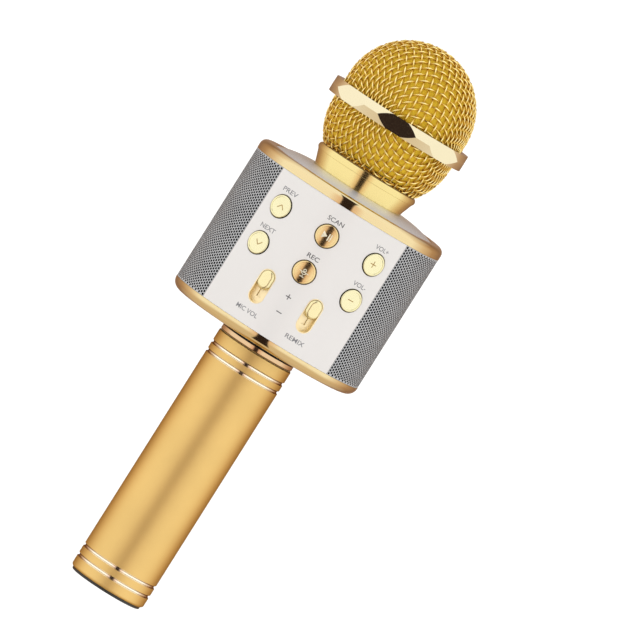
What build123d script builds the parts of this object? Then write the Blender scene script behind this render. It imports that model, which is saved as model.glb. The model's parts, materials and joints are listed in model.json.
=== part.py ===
from build123d import *
import math
import os

# Karaoke microphone. Millimetres. The origin is the centre of the tail's flat end,
# +Z runs up the handle to the head, and the control panel faces -Y.

# Handle
HANDLE_RADIUS = 16.3
HANDLE_BORE = 14.85
HANDLE_LOW = 1.05
HANDLE_TOP = 109.9
GROOVE_HEIGHTS = (6.2, 10.55, 100.5, 104.3)
GROOVE_DEPTH = 0.6
GROOVE_FLOOR_HALF = 0.3
GROOVE_MOUTH_HALF = 0.75
TAIL_RADIUS = 15.3
TAIL_SPIGOT_TOP = 7.0
SEAL_RADIUS = 15.9
SEAL_THICKNESS = 0.3
NECK_RADIUS = 16.1
NECK_LOW = 110.3
NECK_TOP = 112.45

# Threads
SPIGOT_RADIUS = 13.5
SPIGOT_BORE = 11.6
SPIGOT_LOW = 95.5
INSERT_BORE = 13.62
INSERT_LOW = 96.0
THREAD_PITCH = 1.5
THREAD_DEPTH = 0.28
HEAD_THREAD_RADIUS = 17.4
COLLAR_THREAD_BORE = 17.5

# Battery
CELL_RADIUS = 9.2
CELL_LOW = 27.5
CELL_SHOULDER = 91.6
CELL_TOP = 92.5
TRAY_RADIUS = 13.2
TRAY_BORE = 9.45
TRAY_LOW = 20.0
TRAY_WALL_TOP = 22.0
TRAY_HEAD_LOW = 93.4
TRAY_TOP = 95.45
TRAY_SCREW_OFFSET = 7.0

# Drum
DRUM_RADIUS = 41.5
DRUM_LOW = 114.4
BAND_LOW_TOP = 118.7
BAND_HIGH_LOW = 177.5
DRUM_TOP = 182.0
PANEL_BACK_RADIUS = 39.5
PANEL_LOW = 118.78
PANEL_TOP = 177.42
PANEL_HALF_ANGLE = 43.0
GRILLE_START_ANGLE = 43.2
GRILLE_RADIUS = 41.4
GRILLE_BACK_RADIUS = 40.6
HEM_ANGLE = 1.3
FLOOR_LOW = 118.75
FLOOR_TOP = 121.75
ROOF_LOW = 174.4
ROOF_TOP = 177.4
FRAME_RADIUS = 39.4
POST_RADIUS = 37.6
POST_WIDTH = 5.2
POST_DEPTH = 3.2
BAFFLE_INNER = 27.0
BAFFLE_OUTER = 29.5
BAFFLE_HALF_WIDTH = 25.8
SPEAKER_HEIGHT = 148.0
SPEAKER_HOLE = 21.2
SPEAKER_FLANGE_RADIUS = 24.4
SPEAKER_SCREW_OFFSET = 16.1

# Controls
BUTTON_RADIUS = 4.5
BUTTON_HOLE = 4.9
BUTTON_FLANGE = 5.5
BUTTON_FACE = 41.95
BUTTON_ANGLE = 30.6
UPPER_ROW = 164.5
LOWER_ROW = 148.1
SLIDER_ANGLE = 15.2
SLOT_HEIGHT = 134.8
SLOT_LENGTH = 13.95
SLOT_WIDTH = 5.9
LINER_WALL = 0.4
TRAY_FLOOR = 38.4
KNOB_LENGTH = 8.0
KNOB_WIDTH = 5.7
KNOB_CLEARANCE = 0.07
BOARD_FACE = 31.0
BOARD_THICKNESS = 1.6

# Rear controls
MAIN_BOARD_FACE = 25.6
SWITCH_HEIGHT = 163.0
USB_HEIGHT = 147.0
CHARGE_HEIGHT = 136.5
JACK_HEIGHT = 127.0
JACK_BORE = 1.8
JACK_RADIUS = 3.4

# Head
COLLAR_LOW = 182.65
COLLAR_TOP = 192.5
COLLAR_FOOT = 19.35
COLLAR_LIP = 21.95
COVER_SEAT = 182.6
COVER_WELL = 19.75
BALL_RADIUS = 26.9
SHELL = 0.9
LOWER_BALL_CENTRE = 209.4
UPPER_BALL_CENTRE = 221.0
BOWL_LOW = 192.95
HEAD_SPLIT = 214.4
RING_LOW = 211.2
RING_TOP = 217.6
RING_FLAT = 29.9
RING_RIDGE = 31.15
RING_EDGE = 30.07
FOAM_RADIUS = 25.7
FOAM_INNER = 23.2
CLAMP_SCREW_CIRCLE = 12.0

FRONT_BUTTONS = {
    "button_previous": (-BUTTON_ANGLE, UPPER_ROW),
    "button_next": (-BUTTON_ANGLE, LOWER_ROW),
    "button_play": (0.0, UPPER_ROW),
    "button_record": (0.0, LOWER_ROW),
    "button_volume_up": (BUTTON_ANGLE, UPPER_ROW),
    "button_volume_down": (BUTTON_ANGLE, LOWER_ROW),
}

os.makedirs("parts", exist_ok=True)


def save(piece, label):
    """Name a finished piece and write it to its own file."""
    piece.part.label = label
    export_step(piece.part, f"parts/{label}.step")


def outward_plane(angle, radius, height):
    """Plane facing away from the microphone's axis; angle 0 faces -Y, positive turns to +X."""
    turn = math.radians(angle)
    return Plane(
        origin=(radius * math.sin(turn), -radius * math.cos(turn), height),
        x_dir=(math.cos(turn), math.sin(turn), 0),
        z_dir=(math.sin(turn), -math.cos(turn), 0),
    )


def sector_plane(angle):
    """Upright plane through the axis, its local x pointing outwards; angle 0 faces -Y."""
    return Plane.XZ.rotated((0, 0, angle - 90))


def thread_profile(crest, root, low, high):
    """Zigzag wall of a thread, from its low end to its high end."""
    points = [(crest, low)]
    turns = int((high - low) / THREAD_PITCH)
    for turn in range(turns):
        start = low + turn * THREAD_PITCH
        points.append((crest, start + 0.25 * THREAD_PITCH))
        points.append((root, start + 0.5 * THREAD_PITCH))
        points.append((root, start + 0.65 * THREAD_PITCH))
        points.append((crest, start + 0.9 * THREAD_PITCH))
    points.append((crest, high))
    return points


def sphere_radius(ball, centre, height):
    """Radius of a ball's section at a height."""
    return math.sqrt(ball**2 - (height - centre) ** 2)


# ---------------------------------------------------------------- handle


def make_handle_tube():
    outline = [(HANDLE_BORE, HANDLE_LOW), (HANDLE_RADIUS, HANDLE_LOW)]
    for height in GROOVE_HEIGHTS:
        outline.append((HANDLE_RADIUS, height - GROOVE_MOUTH_HALF))
        outline.append((HANDLE_RADIUS - GROOVE_DEPTH, height - GROOVE_FLOOR_HALF))
        outline.append((HANDLE_RADIUS - GROOVE_DEPTH, height + GROOVE_FLOOR_HALF))
        outline.append((HANDLE_RADIUS, height + GROOVE_MOUTH_HALF))
    outline.append((HANDLE_RADIUS, HANDLE_TOP))
    outline.append((HANDLE_BORE, HANDLE_TOP))
    with BuildPart() as handle_tube:
        with BuildSketch(Plane.XZ):
            with BuildLine():
                Polyline(*outline, close=True)
            make_face()
        revolve(axis=Axis.Z)
        rims = handle_tube.edges().filter_by(GeomType.CIRCLE)
        fillet(rims.group_by(Axis.Z)[0].sort_by(SortBy.RADIUS)[-1], 1.2)
        rims = handle_tube.edges().filter_by(GeomType.CIRCLE)
        chamfer(rims.group_by(Axis.Z)[-1].sort_by(SortBy.RADIUS)[-1], 0.25)
    save(handle_tube, "handle_tube")


def make_tail_plug():
    with BuildPart() as tail_plug:
        with BuildSketch(Plane.XY):
            Circle(TAIL_RADIUS)
        extrude(amount=1.0)
        rims = tail_plug.edges().filter_by(GeomType.CIRCLE)
        fillet(rims.group_by(Axis.Z)[0], 0.35)
        with BuildSketch(Plane.XY.offset(1.0)):
            Circle(HANDLE_BORE - 0.06)
            Circle(HANDLE_BORE - 1.8, mode=Mode.SUBTRACT)
        extrude(amount=TAIL_SPIGOT_TOP - 1.0)
    save(tail_plug, "tail_plug")


def make_thread_insert():
    top = HANDLE_TOP - 0.1
    inner = thread_profile(INSERT_BORE, INSERT_BORE + THREAD_DEPTH, INSERT_LOW, top)
    with BuildPart() as thread_insert:
        with BuildSketch(Plane.XZ):
            with BuildLine():
                Polyline((HANDLE_BORE - 0.04, INSERT_LOW), *inner, (HANDLE_BORE - 0.04, top), close=True)
            make_face()
        revolve(axis=Axis.Z)
    save(thread_insert, "thread_insert")


def make_handle_seal():
    with BuildPart() as handle_seal:
        with BuildSketch(Plane.XY.offset(HANDLE_TOP + 0.05)):
            Circle(SEAL_RADIUS)
            Circle(INSERT_BORE, mode=Mode.SUBTRACT)
        extrude(amount=SEAL_THICKNESS)
    save(handle_seal, "handle_seal")


def make_neck_ring():
    with BuildPart() as neck_ring:
        with BuildSketch(Plane.XY.offset(NECK_LOW)):
            Circle(NECK_RADIUS)
            Circle(SPIGOT_RADIUS + 0.04, mode=Mode.SUBTRACT)
        extrude(amount=NECK_TOP - NECK_LOW)
        rims = neck_ring.edges().filter_by(GeomType.CIRCLE).sort_by(SortBy.RADIUS)[-2:]
        fillet(rims, 0.4)
    save(neck_ring, "neck_ring")


def make_neck_spigot():
    outer = thread_profile(SPIGOT_RADIUS, SPIGOT_RADIUS - THREAD_DEPTH, SPIGOT_LOW, 109.5)
    with BuildPart() as neck_spigot:
        with BuildSketch(Plane.XZ):
            with BuildLine():
                Polyline(
                    (3.0, SPIGOT_LOW),
                    *outer,
                    (SPIGOT_RADIUS, BAND_LOW_TOP),
                    (22.0, BAND_LOW_TOP),
                    (22.0, 120.7),
                    (SPIGOT_BORE, 120.7),
                    (SPIGOT_BORE, 98.7),
                    (3.0, 98.7),
                    close=True,
                )
            make_face()
        revolve(axis=Axis.Z)
        with BuildSketch(Plane.XY.offset(BAND_LOW_TOP)):
            with PolarLocations(18.0, 3, 30):
                Circle(1.3)
        extrude(amount=5.0, mode=Mode.SUBTRACT)
        with BuildSketch(Plane.XY.offset(SPIGOT_LOW)):
            with Locations((TRAY_SCREW_OFFSET, 0), (-TRAY_SCREW_OFFSET, 0)):
                Circle(1.02)
        extrude(amount=5.0, mode=Mode.SUBTRACT)
    save(neck_spigot, "neck_spigot")


def make_spigot_screws():
    with BuildPart() as spigot_screws:
        with BuildSketch(Plane.XY.offset(115.8)):
            with PolarLocations(18.0, 3, 30):
                Circle(1.25)
        extrude(amount=120.72 - 115.8)
        with BuildSketch(Plane.XY.offset(120.72)):
            with PolarLocations(18.0, 3, 30):
                Circle(2.5)
                SlotOverall(3.2, 0.7, mode=Mode.SUBTRACT)
        extrude(amount=1.6)
        with BuildSketch(Plane.XY.offset(120.72)):
            with PolarLocations(18.0, 3, 30):
                Circle(2.3)
        extrude(amount=0.8)
    save(spigot_screws, "spigot_screws")


# ---------------------------------------------------------------- battery


def make_battery_tray():
    with BuildPart() as battery_tray:
        with BuildSketch(Plane.XY.offset(TRAY_LOW)):
            Circle(TRAY_RADIUS)
            Circle(TRAY_BORE, mode=Mode.SUBTRACT)
            with Locations((0, -TRAY_RADIUS)):
                Rectangle(4 * TRAY_RADIUS, 2 * TRAY_RADIUS - 4.0, mode=Mode.SUBTRACT)
        extrude(amount=TRAY_TOP - TRAY_LOW)
        with BuildSketch(Plane.XY.offset(TRAY_LOW)):
            Circle(TRAY_RADIUS)
        extrude(amount=TRAY_WALL_TOP - TRAY_LOW)
        with BuildSketch(Plane.XY.offset(TRAY_HEAD_LOW)):
            Circle(TRAY_RADIUS)
        extrude(amount=TRAY_TOP - TRAY_HEAD_LOW)
        with BuildSketch(Plane.XY.offset(TRAY_HEAD_LOW)):
            Circle(2.0)
            with Locations((TRAY_SCREW_OFFSET, 0), (-TRAY_SCREW_OFFSET, 0)):
                Circle(1.05)
        extrude(amount=5.0, mode=Mode.SUBTRACT)
    save(battery_tray, "battery_tray")


def make_battery_cell():
    with BuildPart() as battery_cell:
        with BuildSketch(Plane.XY.offset(CELL_LOW)):
            Circle(CELL_RADIUS)
        extrude(amount=CELL_SHOULDER - CELL_LOW)
        rims = battery_cell.edges().filter_by(GeomType.CIRCLE)
        fillet(rims, 0.5)
        with BuildSketch(Plane.XY.offset(CELL_SHOULDER)):
            Circle(2.9)
        extrude(amount=CELL_TOP - CELL_SHOULDER)
    save(battery_cell, "battery_cell")


def make_battery_spring():
    wire_radius = 0.4
    with BuildPart() as battery_spring:
        with BuildLine():
            coil = Helix(pitch=1.35, height=4.55, radius=5.0, center=(0, 0, TRAY_WALL_TOP + 0.45))
        with BuildSketch(Plane(origin=coil @ 0, z_dir=coil % 0)):
            Circle(wire_radius)
        sweep(path=coil, is_frenet=True)
    save(battery_spring, "battery_spring")


def make_battery_contact():
    with BuildPart() as battery_contact:
        with BuildSketch(Plane.XY.offset(CELL_TOP + 0.05)):
            Rectangle(8.0, 10.0)
        extrude(amount=0.4)
        with BuildSketch(Plane.XY.offset(CELL_TOP + 0.45)):
            Rectangle(5.0, 6.0)
        extrude(amount=0.4)
    save(battery_contact, "battery_contact")


def make_tray_screws():
    with BuildPart() as tray_screws:
        with BuildSketch(Plane.XY.offset(TRAY_HEAD_LOW - 1.3)):
            with Locations((TRAY_SCREW_OFFSET, 0), (-TRAY_SCREW_OFFSET, 0)):
                Circle(1.3)
        extrude(amount=1.28)
        with BuildSketch(Plane.XY.offset(TRAY_HEAD_LOW - 0.1)):
            with Locations((TRAY_SCREW_OFFSET, 0), (-TRAY_SCREW_OFFSET, 0)):
                Circle(1.0)
        extrude(amount=4.9)
    save(tray_screws, "tray_screws")


# ---------------------------------------------------------------- drum shell


def make_bottom_band():
    with BuildPart() as bottom_band:
        with BuildSketch(Plane.XZ):
            with BuildLine():
                Polyline(
                    (36.0, DRUM_LOW),
                    (DRUM_RADIUS, DRUM_LOW),
                    (DRUM_RADIUS, BAND_LOW_TOP),
                    (33.0, BAND_LOW_TOP),
                    (33.0, 117.05),
                    (36.0, 117.05),
                    close=True,
                )
            make_face()
        revolve(axis=Axis.Z)
        rims = bottom_band.edges().filter_by(GeomType.CIRCLE)
        fillet(rims.group_by(Axis.Z)[0].sort_by(SortBy.RADIUS)[-1], 3.9)
    save(bottom_band, "bottom_band")


def make_bottom_cover():
    with BuildPart() as bottom_cover:
        with BuildSketch(Plane.XY.offset(114.8)):
            Circle(35.9)
        extrude(amount=117.0 - 114.8)
        with BuildSketch(Plane.XY.offset(117.0)):
            Circle(32.9)
        extrude(amount=BAND_LOW_TOP - 0.02 - 117.0)
        with BuildSketch(Plane.XY.offset(110.0)):
            Circle(SPIGOT_RADIUS + 0.04)
        extrude(amount=15.0, mode=Mode.SUBTRACT)
        with BuildSketch(Plane.XY.offset(115.7)):
            with PolarLocations(18.0, 3, 30):
                Circle(1.27)
        extrude(amount=5.0, mode=Mode.SUBTRACT)
        with BuildSketch(Plane.XY.offset(114.0)):
            with PolarLocations(27.5, 4, 45):
                Circle(2.8)
        extrude(amount=2.4, mode=Mode.SUBTRACT)
        with BuildSketch(Plane.XY.offset(114.0)):
            with PolarLocations(27.5, 4, 45):
                Circle(1.4)
        extrude(amount=6.0, mode=Mode.SUBTRACT)
    save(bottom_cover, "bottom_cover")


def make_cover_screws():
    with BuildPart() as cover_screws:
        with BuildSketch(Plane.XY.offset(114.9)):
            with PolarLocations(27.5, 4, 45):
                Circle(2.5)
        extrude(amount=1.48)
        with BuildSketch(Plane.XY.offset(114.9)):
            with PolarLocations(27.5, 4, 45):
                Rectangle(3.0, 0.6)
                Rectangle(0.6, 3.0)
        extrude(amount=0.6, mode=Mode.SUBTRACT)
        with BuildSketch(Plane.XY.offset(116.3)):
            with PolarLocations(27.5, 4, 45):
                Circle(1.25)
        extrude(amount=4.7)
    save(cover_screws, "cover_screws")


def make_front_panel():
    with BuildPart() as front_panel:
        with BuildSketch(sector_plane(-PANEL_HALF_ANGLE)):
            with Locations(((DRUM_RADIUS + PANEL_BACK_RADIUS) / 2, (PANEL_LOW + PANEL_TOP) / 2)):
                Rectangle(DRUM_RADIUS - PANEL_BACK_RADIUS, PANEL_TOP - PANEL_LOW)
        revolve(axis=Axis.Z, revolution_arc=2 * PANEL_HALF_ANGLE)
        corners = front_panel.edges().filter_by(Axis.Z).sort_by_distance((0, 0, SLOT_HEIGHT))[-2:]
        fillet(corners, 0.4)
        for angle, height in FRONT_BUTTONS.values():
            with BuildSketch(outward_plane(angle, 34.0, height)):
                Circle(BUTTON_HOLE)
            extrude(amount=12.0, mode=Mode.SUBTRACT)
        for angle in (-SLIDER_ANGLE, SLIDER_ANGLE):
            with BuildSketch(outward_plane(angle, 34.0, SLOT_HEIGHT)):
                SlotOverall(SLOT_LENGTH + 2 * LINER_WALL, SLOT_WIDTH + 2 * LINER_WALL, rotation=90)
            extrude(amount=12.0, mode=Mode.SUBTRACT)
    save(front_panel, "front_panel")


def make_back_panel():
    with BuildPart() as back_panel:
        with BuildSketch(sector_plane(180 - PANEL_HALF_ANGLE)):
            with Locations(((DRUM_RADIUS + PANEL_BACK_RADIUS) / 2, (PANEL_LOW + PANEL_TOP) / 2)):
                Rectangle(DRUM_RADIUS - PANEL_BACK_RADIUS, PANEL_TOP - PANEL_LOW)
        revolve(axis=Axis.Z, revolution_arc=2 * PANEL_HALF_ANGLE)
        corners = back_panel.edges().filter_by(Axis.Z).sort_by_distance((0, 0, SLOT_HEIGHT))[-2:]
        fillet(corners, 0.4)
        with BuildSketch(outward_plane(180, 34.0, 0)):
            with Locations((0, SWITCH_HEIGHT)):
                SlotOverall(9.0, 3.8)
            with Locations((0, USB_HEIGHT)):
                Rectangle(13.4, 6.0)
            with Locations((0, CHARGE_HEIGHT)):
                Rectangle(8.2, 3.4)
            with Locations((0, JACK_HEIGHT)):
                Circle(JACK_RADIUS + 0.05)
        extrude(amount=12.0, mode=Mode.SUBTRACT)
    save(back_panel, "back_panel")


def make_side_grille(side, label):
    arc = 180 - 2 * GRILLE_START_ANGLE
    start = GRILLE_START_ANGLE if side > 0 else 180 + GRILLE_START_ANGLE
    middle = (PANEL_LOW + PANEL_TOP) / 2
    height = PANEL_TOP - PANEL_LOW
    with BuildPart() as side_grille:
        with BuildSketch(sector_plane(start)):
            with Locations(((GRILLE_RADIUS + GRILLE_BACK_RADIUS) / 2, middle)):
                Rectangle(GRILLE_RADIUS - GRILLE_BACK_RADIUS, height)
        revolve(axis=Axis.Z, revolution_arc=arc)
        for hem_start in (start, start + arc - HEM_ANGLE):
            with BuildSketch(sector_plane(hem_start)):
                with Locations(((GRILLE_RADIUS + PANEL_BACK_RADIUS) / 2, middle)):
                    Rectangle(GRILLE_RADIUS - PANEL_BACK_RADIUS, height)
            revolve(axis=Axis.Z, revolution_arc=HEM_ANGLE)
    save(side_grille, label)


def make_top_band():
    with BuildPart() as top_band:
        with BuildSketch(Plane.XZ):
            with BuildLine():
                Polyline(
                    (33.0, BAND_HIGH_LOW),
                    (DRUM_RADIUS, BAND_HIGH_LOW),
                    (DRUM_RADIUS, DRUM_TOP),
                    (35.6, DRUM_TOP),
                    (35.6, 179.9),
                    (33.0, 179.9),
                    close=True,
                )
            make_face()
        revolve(axis=Axis.Z)
        rims = top_band.edges().filter_by(GeomType.CIRCLE)
        fillet(rims.group_by(Axis.Z)[-1].sort_by(SortBy.RADIUS)[-1], 2.6)
        rims = top_band.edges().filter_by(GeomType.CIRCLE)
        fillet(rims.group_by(Axis.Z)[-1].sort_by(SortBy.RADIUS)[0], 0.5)
    save(top_band, "top_band")


def make_top_cover():
    with BuildPart() as top_cover:
        with BuildSketch(Plane.XZ):
            with BuildLine():
                Polyline(
                    (35.5, 181.6),
                    (35.5, 179.95),
                    (32.9, 179.95),
                    (32.9, BAND_HIGH_LOW),
                    (31.0, BAND_HIGH_LOW),
                    (31.0, 180.2),
                    (19.0, 181.2),
                    (19.0, BAND_HIGH_LOW),
                    (8.0, BAND_HIGH_LOW),
                    (8.0, COVER_SEAT),
                    (COVER_WELL, COVER_SEAT),
                    (COVER_WELL, 184.1),
                )
                ThreePointArc((COVER_WELL, 184.1), (28.0, 183.6), (35.5, 181.6))
            make_face()
        revolve(axis=Axis.Z)
        with BuildSketch(Plane.XY.offset(170.0)):
            with PolarLocations(CLAMP_SCREW_CIRCLE, 3, 30):
                Circle(1.4)
        extrude(amount=20.0, mode=Mode.SUBTRACT)
    save(top_cover, "top_cover")


# ---------------------------------------------------------------- inner frame


def make_chassis():
    with BuildPart() as chassis:
        with BuildSketch(Plane.XY.offset(FLOOR_LOW)):
            Circle(FRAME_RADIUS)
            Circle(22.2, mode=Mode.SUBTRACT)
        extrude(amount=FLOOR_TOP - FLOOR_LOW)
        with BuildSketch(Plane.XY.offset(ROOF_LOW)):
            Circle(FRAME_RADIUS)
            Circle(8.0, mode=Mode.SUBTRACT)
        extrude(amount=ROOF_TOP - ROOF_LOW)
        with BuildSketch(Plane.XY.offset(FLOOR_LOW + 1.0)):
            for angle in (44.5, 135.5, 224.5, 315.5):
                turn = math.radians(angle)
                post_x = POST_RADIUS * math.sin(turn)
                post_y = POST_RADIUS * math.cos(turn)
                with Locations(Location((post_x, post_y, 0), (0, 0, -angle))):
                    Rectangle(POST_WIDTH, POST_DEPTH)
            for side in (-1, 1):
                with Locations((side * (BAFFLE_INNER + BAFFLE_OUTER) / 2, 0)):
                    Rectangle(BAFFLE_OUTER - BAFFLE_INNER, 2 * BAFFLE_HALF_WIDTH)
        extrude(amount=ROOF_TOP - FLOOR_LOW - 2.0)
        with BuildSketch(Plane.YZ.offset(-40.0)):
            with Locations((0, SPEAKER_HEIGHT)):
                Circle(SPEAKER_HOLE)
        extrude(amount=80.0, mode=Mode.SUBTRACT)
        with BuildSketch(Plane.YZ.offset(-40.0)):
            with Locations((0, SPEAKER_HEIGHT)):
                with GridLocations(2 * SPEAKER_SCREW_OFFSET, 2 * SPEAKER_SCREW_OFFSET, 2, 2):
                    Circle(0.97)
        extrude(amount=80.0, mode=Mode.SUBTRACT)
        with BuildSketch(Plane.XY.offset(FLOOR_LOW)):
            with PolarLocations(27.5, 4, 45):
                Circle(1.27)
        extrude(amount=5.0, mode=Mode.SUBTRACT)
        with BuildSketch(Plane.XY.offset(ROOF_LOW)):
            with PolarLocations(CLAMP_SCREW_CIRCLE, 3, 30):
                Circle(1.27)
        extrude(amount=5.0, mode=Mode.SUBTRACT)
        with BuildSketch(Plane.XY.offset(121.0)):
            with Locations((0, MAIN_BOARD_FACE - BOARD_THICKNESS / 2)):
                Rectangle(34.1, BOARD_THICKNESS + 0.1)
        extrude(amount=175.2 - 121.0, mode=Mode.SUBTRACT)
        with BuildSketch(Plane.XY.offset(120.95)):
            with BuildLine():
                Polyline(*key_board_outline(0.06), close=True)
            make_face()
        extrude(amount=175.25 - 120.95, mode=Mode.SUBTRACT)
    save(chassis, "chassis")


def key_board_outline(spare):
    """Plan of the folded key board: three flats facing the three button columns."""
    front = BOARD_FACE + spare
    back = BOARD_FACE - BOARD_THICKNESS - spare
    half = BUTTON_ANGLE / 2
    reach = 8.2 + spare
    turn = math.radians(BUTTON_ANGLE)
    outline = []
    for distance in (front, back):
        fold = distance / math.cos(math.radians(half))
        fold_x = fold * math.sin(math.radians(half))
        end_x = distance * math.sin(turn) + reach * math.cos(turn)
        end_y = -distance * math.cos(turn) + reach * math.sin(turn)
        row = [(-end_x, end_y), (-fold_x, -distance), (fold_x, -distance), (end_x, end_y)]
        outline.extend(row if distance == front else reversed(row))
    return outline


def make_key_board():
    with BuildPart() as key_board:
        with BuildSketch(Plane.XY.offset(121.0)):
            with BuildLine():
                Polyline(*key_board_outline(0.0), close=True)
            make_face()
        extrude(amount=175.2 - 121.0)
    save(key_board, "key_board")


def make_tact_switches():
    with BuildPart() as tact_switches:
        for angle, height in FRONT_BUTTONS.values():
            with BuildSketch(outward_plane(angle, BOARD_FACE + 0.05, height)):
                Rectangle(6.0, 6.0)
            extrude(amount=3.4)
            with BuildSketch(outward_plane(angle, BOARD_FACE + 3.45, height)):
                Circle(1.7)
            extrude(amount=0.95)
    save(tact_switches, "tact_switches")


def make_fader_bodies():
    with BuildPart() as fader_bodies:
        for angle in (-SLIDER_ANGLE, SLIDER_ANGLE):
            with BuildSketch(outward_plane(angle, 32.3, SLOT_HEIGHT)):
                Rectangle(6.8, 15.4)
            extrude(amount=3.9)
            with BuildSketch(outward_plane(angle, 33.4, SLOT_HEIGHT)):
                Rectangle(1.7, 8.6)
            extrude(amount=4.0, mode=Mode.SUBTRACT)
    save(fader_bodies, "fader_bodies")


def make_main_board():
    with BuildPart() as main_board:
        with BuildSketch(Plane.XY.offset(121.05)):
            with Locations((0, MAIN_BOARD_FACE - BOARD_THICKNESS / 2)):
                Rectangle(34.0, BOARD_THICKNESS)
        extrude(amount=175.15 - 121.05)
    save(main_board, "main_board")


# ---------------------------------------------------------------- speakers


def make_speaker(side, word):
    speaker_axis = Axis((0, 0, SPEAKER_HEIGHT), (1, 0, 0))
    basket_outline = [
        (31.0, 24.4), (29.55, 24.4), (29.55, 21.0), (28.6, 20.9), (19.0, 13.2), (18.0, 13.2),
        (18.0, 6.0), (19.2, 6.0), (19.2, 11.8), (29.0, 19.0), (31.0, 19.0),
    ]
    cone_outline = [
        (31.05, 20.9), (32.2, 20.3), (32.5, 19.2), (32.2, 18.1), (31.3, 17.4), (23.7, 6.6),
        (25.2, 4.0), (25.8, 0.0), (25.2, 0.0), (24.6, 3.6), (22.9, 6.7), (30.9, 17.9),
        (31.7, 18.4), (31.95, 19.2), (31.7, 20.0), (31.05, 20.4),
    ]
    mid = SPEAKER_HEIGHT
    with BuildPart() as basket:
        with BuildSketch(Plane.XZ):
            with BuildLine():
                Polyline(*[(side * x, mid + r) for x, r in basket_outline], close=True)
            make_face()
        revolve(axis=speaker_axis)
        with BuildSketch(Plane.YZ.offset(side * 29.0)):
            with Locations((0, mid)):
                with GridLocations(2 * SPEAKER_SCREW_OFFSET, 2 * SPEAKER_SCREW_OFFSET, 2, 2):
                    Circle(1.05)
        extrude(amount=side * 4.0, mode=Mode.SUBTRACT)
    save(basket, f"speaker_basket_{word}")
    with BuildPart() as cone:
        with BuildSketch(Plane.XZ):
            with BuildLine():
                Polyline(*[(side * x, mid + r) for x, r in cone_outline], close=True)
            make_face()
        revolve(axis=speaker_axis)
    save(cone, f"speaker_cone_{word}")
    with BuildPart() as magnet:
        with BuildSketch(Plane.YZ.offset(side * 10.5)):
            with Locations((0, mid)):
                Circle(11.5)
        extrude(amount=side * 7.45)
        with BuildSketch(Plane.YZ.offset(side * 17.95)):
            with Locations((0, mid)):
                Circle(5.6)
        extrude(amount=side * 3.5)
        chamfer(magnet.edges().group_by(Axis.X)[0 if side > 0 else -1], 0.6)
    save(magnet, f"speaker_magnet_{word}")


def make_speaker_screws():
    with BuildPart() as speaker_screws:
        for side in (-1, 1):
            with BuildSketch(Plane.YZ.offset(side * 27.6)):
                with Locations((0, SPEAKER_HEIGHT)):
                    with GridLocations(2 * SPEAKER_SCREW_OFFSET, 2 * SPEAKER_SCREW_OFFSET, 2, 2):
                        Circle(0.95)
            extrude(amount=side * 3.5)
            with BuildSketch(Plane.YZ.offset(side * 31.03)):
                with Locations((0, SPEAKER_HEIGHT)):
                    with GridLocations(2 * SPEAKER_SCREW_OFFSET, 2 * SPEAKER_SCREW_OFFSET, 2, 2):
                        Circle(1.6)
            extrude(amount=side * 1.2)
    save(speaker_screws, "speaker_screws")


# ---------------------------------------------------------------- front controls


def make_button(label, angle, height):
    with BuildPart() as button:
        with BuildSketch(outward_plane(angle, 35.95, height)):
            Circle(1.6)
        extrude(amount=2.1)
        with BuildSketch(outward_plane(angle, 38.0, height)):
            Circle(BUTTON_FLANGE)
        extrude(amount=0.8)
        with BuildSketch(outward_plane(angle, 38.0, height)):
            Circle(BUTTON_RADIUS)
        extrude(amount=BUTTON_FACE - 38.0)
        outward = Axis((0, 0, height), (math.sin(math.radians(angle)), -math.cos(math.radians(angle)), 0))
        rim = button.edges().filter_by(GeomType.CIRCLE).group_by(outward)[-1]
        fillet(rim, 0.35)
        with BuildSketch(outward_plane(angle, BUTTON_FACE - 0.22, height)):
            Circle(3.7)
        extrude(amount=1.0, taper=-20, mode=Mode.SUBTRACT)
    save(button, label)


def make_slider(label, angle):
    centre = SLOT_HEIGHT + SLOT_LENGTH / 2 - KNOB_CLEARANCE - KNOB_LENGTH / 2
    foot = TRAY_FLOOR + 0.3
    with BuildPart() as slider:
        with BuildSketch(outward_plane(angle, foot, centre)):
            SlotOverall(KNOB_LENGTH, KNOB_WIDTH, rotation=90)
        extrude(amount=42.45 - foot)
        outward = Axis((0, 0, centre), (math.sin(math.radians(angle)), -math.cos(math.radians(angle)), 0))
        fillet(slider.edges().group_by(outward)[-1], 1.3)
        with BuildSketch(outward_plane(angle, 34.0, centre)):
            Rectangle(1.2, 2.0)
        extrude(amount=foot + 0.2 - 34.0)
    save(slider, label)


def make_slider_tray(label, angle):
    liner_length = SLOT_LENGTH + 2 * LINER_WALL - 0.04
    liner_width = SLOT_WIDTH + 2 * LINER_WALL - 0.04
    with BuildPart() as slider_tray:
        with BuildSketch(outward_plane(angle, TRAY_FLOOR - 0.6, SLOT_HEIGHT)):
            SlotOverall(liner_length, liner_width, rotation=90)
        extrude(amount=5.0)
        with BuildSketch(outward_plane(angle, TRAY_FLOOR - 0.2, SLOT_HEIGHT)):
            SlotOverall(liner_length + 1.6, liner_width + 1.6, rotation=90)
        extrude(amount=0.9)
        with BuildSketch(outward_plane(angle, TRAY_FLOOR, SLOT_HEIGHT)):
            SlotOverall(SLOT_LENGTH, SLOT_WIDTH, rotation=90)
        extrude(amount=5.0, mode=Mode.SUBTRACT)
        with BuildSketch(outward_plane(angle, 36.0, SLOT_HEIGHT)):
            Rectangle(1.8, 8.6)
        extrude(amount=4.0, mode=Mode.SUBTRACT)
        with BuildSketch(Plane.XY.offset(120.0)):
            Circle(DRUM_RADIUS)
        extrude(amount=30.0, mode=Mode.INTERSECT)
    save(slider_tray, label)


# ---------------------------------------------------------------- rear controls


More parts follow.
